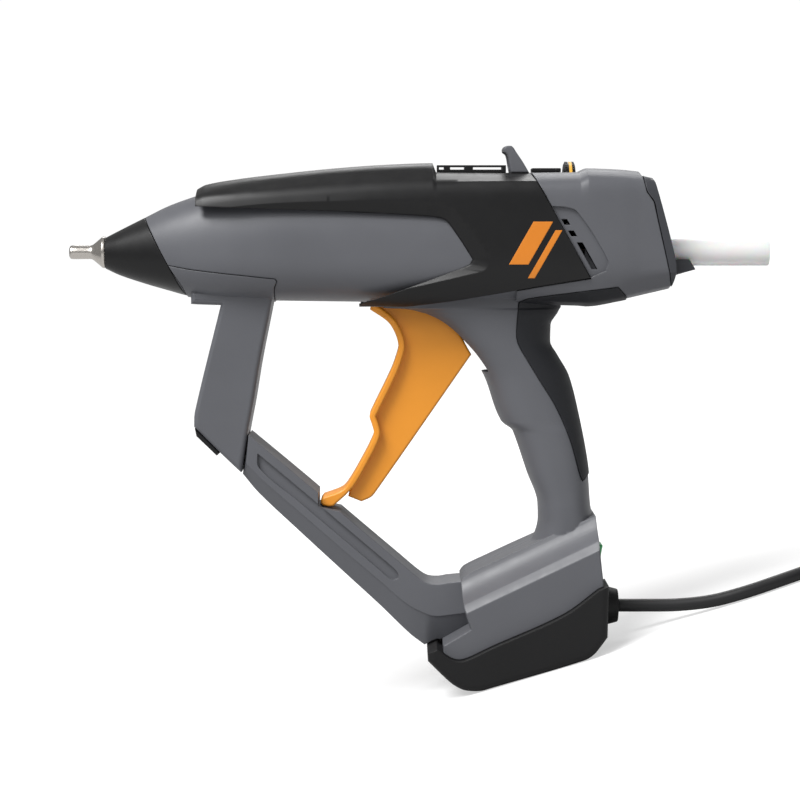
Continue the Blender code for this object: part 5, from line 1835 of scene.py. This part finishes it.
@dataclass
class Base:
    """The black boot that the gun stands on, with the rocker switch above the cord."""

    boot_half: float = 33.0
    base_half: float = 29.0
    switch_half: float = 6.5
    axis_z: float = CORD_AXIS

    def boot(self) -> Obj:
        """The boot with its rounded sides."""
        lower = curved(BOOT_UNDER, 1.2, 30.0, closed=False)
        boot = slab([(149.5, -150.0), (224.5, -128.0), *lower], self.boot_half, 3.0, 6)
        hollow = (
            (168.0, -150.0), (176.0, -150.0), (205.7, -140.0), (214.0, -136.0), (216.5, -158.0), (206.0, -164.0),
            (176.0, -172.5), (168.0, -173.5),
        )
        cut(boot, prism(hollow, -self.base_half + 4.0, self.base_half - 4.0))
        line = [(x, z - GAP) for x, z in curved(BOOT_LINE, closed=False)]
        above = [*line, (240.0, -131.0), (240.0, -100.0), (130.0, -100.0), (130.0, -164.9), (148.9, -164.9)]
        cut(boot, prism(above, -60.0, 60.0))
        half = self.switch_half + GAP
        cut(boot, box(206.0, 240.0, -half, half, -142.6, -100.0))
        cut(boot, turned([(205.0, 6.3), (240.0, 6.3)], z=self.axis_z))
        return Finish.RUBBER.on(settled(boot, "boot_moulded", BODY, "rubber", "boot"))

    def switch(self) -> list[Obj]:
        """The switch's black frame and its green key."""
        half = self.switch_half
        frame_box = rounded(box(207.0, 221.2, -half, half, -142.2, -120.6), 0.7, segments=3)
        cut(frame_box, box(215.4, 230.0, -half + 0.9, half - 0.9, -141.2, -121.6))
        line = [
            (218.9, -139.9), (222.3, -140.0), (222.9, -139.6), (222.75, -137.0), (222.4, -133.6), (222.2, -131.4),
            (222.35, -129.0), (222.8, -125.6), (223.3, -122.9), (222.9, -122.5), (218.9, -122.5),
        ]
        key = slab(curved(line, 0.7, 50.0), half - 1.3, 0.4, 3)
        return [
            Finish.BLACK.on(settled(frame_box, "switch_frame", BODY, "black", "switch_body")),
            Finish.GREEN.on(settled(key, "rocker_key", "rocker", "green", "switch_key")),
        ]

    def build(self) -> list[Obj]:
        """The boot and the switch."""
        return [self.boot(), *self.switch()]


@dataclass
class Fasteners:
    """Six screws with crossed heads in the right half."""

    span: Point2 = (-12.0, 8.4)

    def unit(self) -> Obj:
        """One screw: a thread, a domed head and a cross in it."""
        start, end = self.span
        thread = [(start, 0.5), (start + 1.2, 1.05)]
        for x in steps(start + 1.4, end - 0.4, 0.7):
            thread += [(x, 1.12), (x + 0.32, SCREW_SIZES["shank"])]
        screw = turned([*thread, (end, 1.2)], "Y", count=20)
        dome = [(8.3, 2.4), (8.35, 2.9), (8.8, 3.0), (10.0, 2.85), (10.5, 2.3), (10.75, 1.4), (10.8, 0.4)]
        head = turned(dome, "Y", count=40)
        join(screw, head)
        cut(screw, box(-1.9, 1.9, 9.6, 12.0, -0.4, 0.4), box(-0.4, 0.4, 9.6, 12.0, -1.9, 1.9))
        return screw

    def build(self) -> list[Obj]:
        """All six as one piece."""
        unit = self.unit()
        values = {"Unit": unit, "Finish": Finish.ZINC.material()}
        screws = grown("case_screws", copies_tree(), values, [(x, 0.0, z) for x, z in SCREWS])
        bpy.data.objects.remove(unit, do_unlink=True)
        return [settled(screws, "case_screws", BODY, "steel", *[f"screw_{i + 1}" for i in range(len(SCREWS))])]


@dataclass
class Internals:
    """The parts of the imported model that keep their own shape, each in its finish."""

    finishes: dict[str, Finish] = field(
        default_factory=lambda: {
            "valve_ball": Finish.STEEL, "valve_spring": Finish.STEEL, "melt_chamber": Finish.ALUMINIUM,
            "heater_cartridge": Finish.STEEL, "heater_strap": Finish.STEEL, "inlet_sleeve": Finish.SILICONE,
            "return_spring": Finish.STEEL, "feed_guide": Finish.CAP, "feed_carriage": Finish.BLACK,
            "clamp_jaw": Finish.STEEL, "stroke_stop": Finish.BLACK, "adjuster_spindle": Finish.BRASS,
            "trigger_pin": Finish.STEEL, "control_board": Finish.BOARD, "mains_terminal": Finish.LIGHT,
        }
    )

    def build(self) -> list[Obj]:
        """Dress every one."""
        return [finish.on(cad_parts[name]) for name, finish in self.finishes.items()]


def main() -> None:
    """Build the studio and the gun, piece by piece, and work out the sizes of both boxes."""
    logging.basicConfig(level=logging.INFO, format="%(name)s: %(message)s")
    Studio().build()
    body = Body()
    assemblies = (
        MainsCord(), Housing(body), Cover(body), Nose(body), FrontHandle(body), Trigger(), TopDetails(),
        LoadingEnd(body), Grip(body), Base(), Fasteners(), Internals(),
    )
    for assembly in assemblies:
        LOG.info("%s", type(assembly).__name__)
        for piece in assembly.build():
            report(piece)
    boxes = {"cad": CAD_BOX, "visual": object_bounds()}
    sizes = {key: [[float(v) for v in corner] for corner in found] for key, found in boxes.items()}


if __name__ == "__main__":
    main()
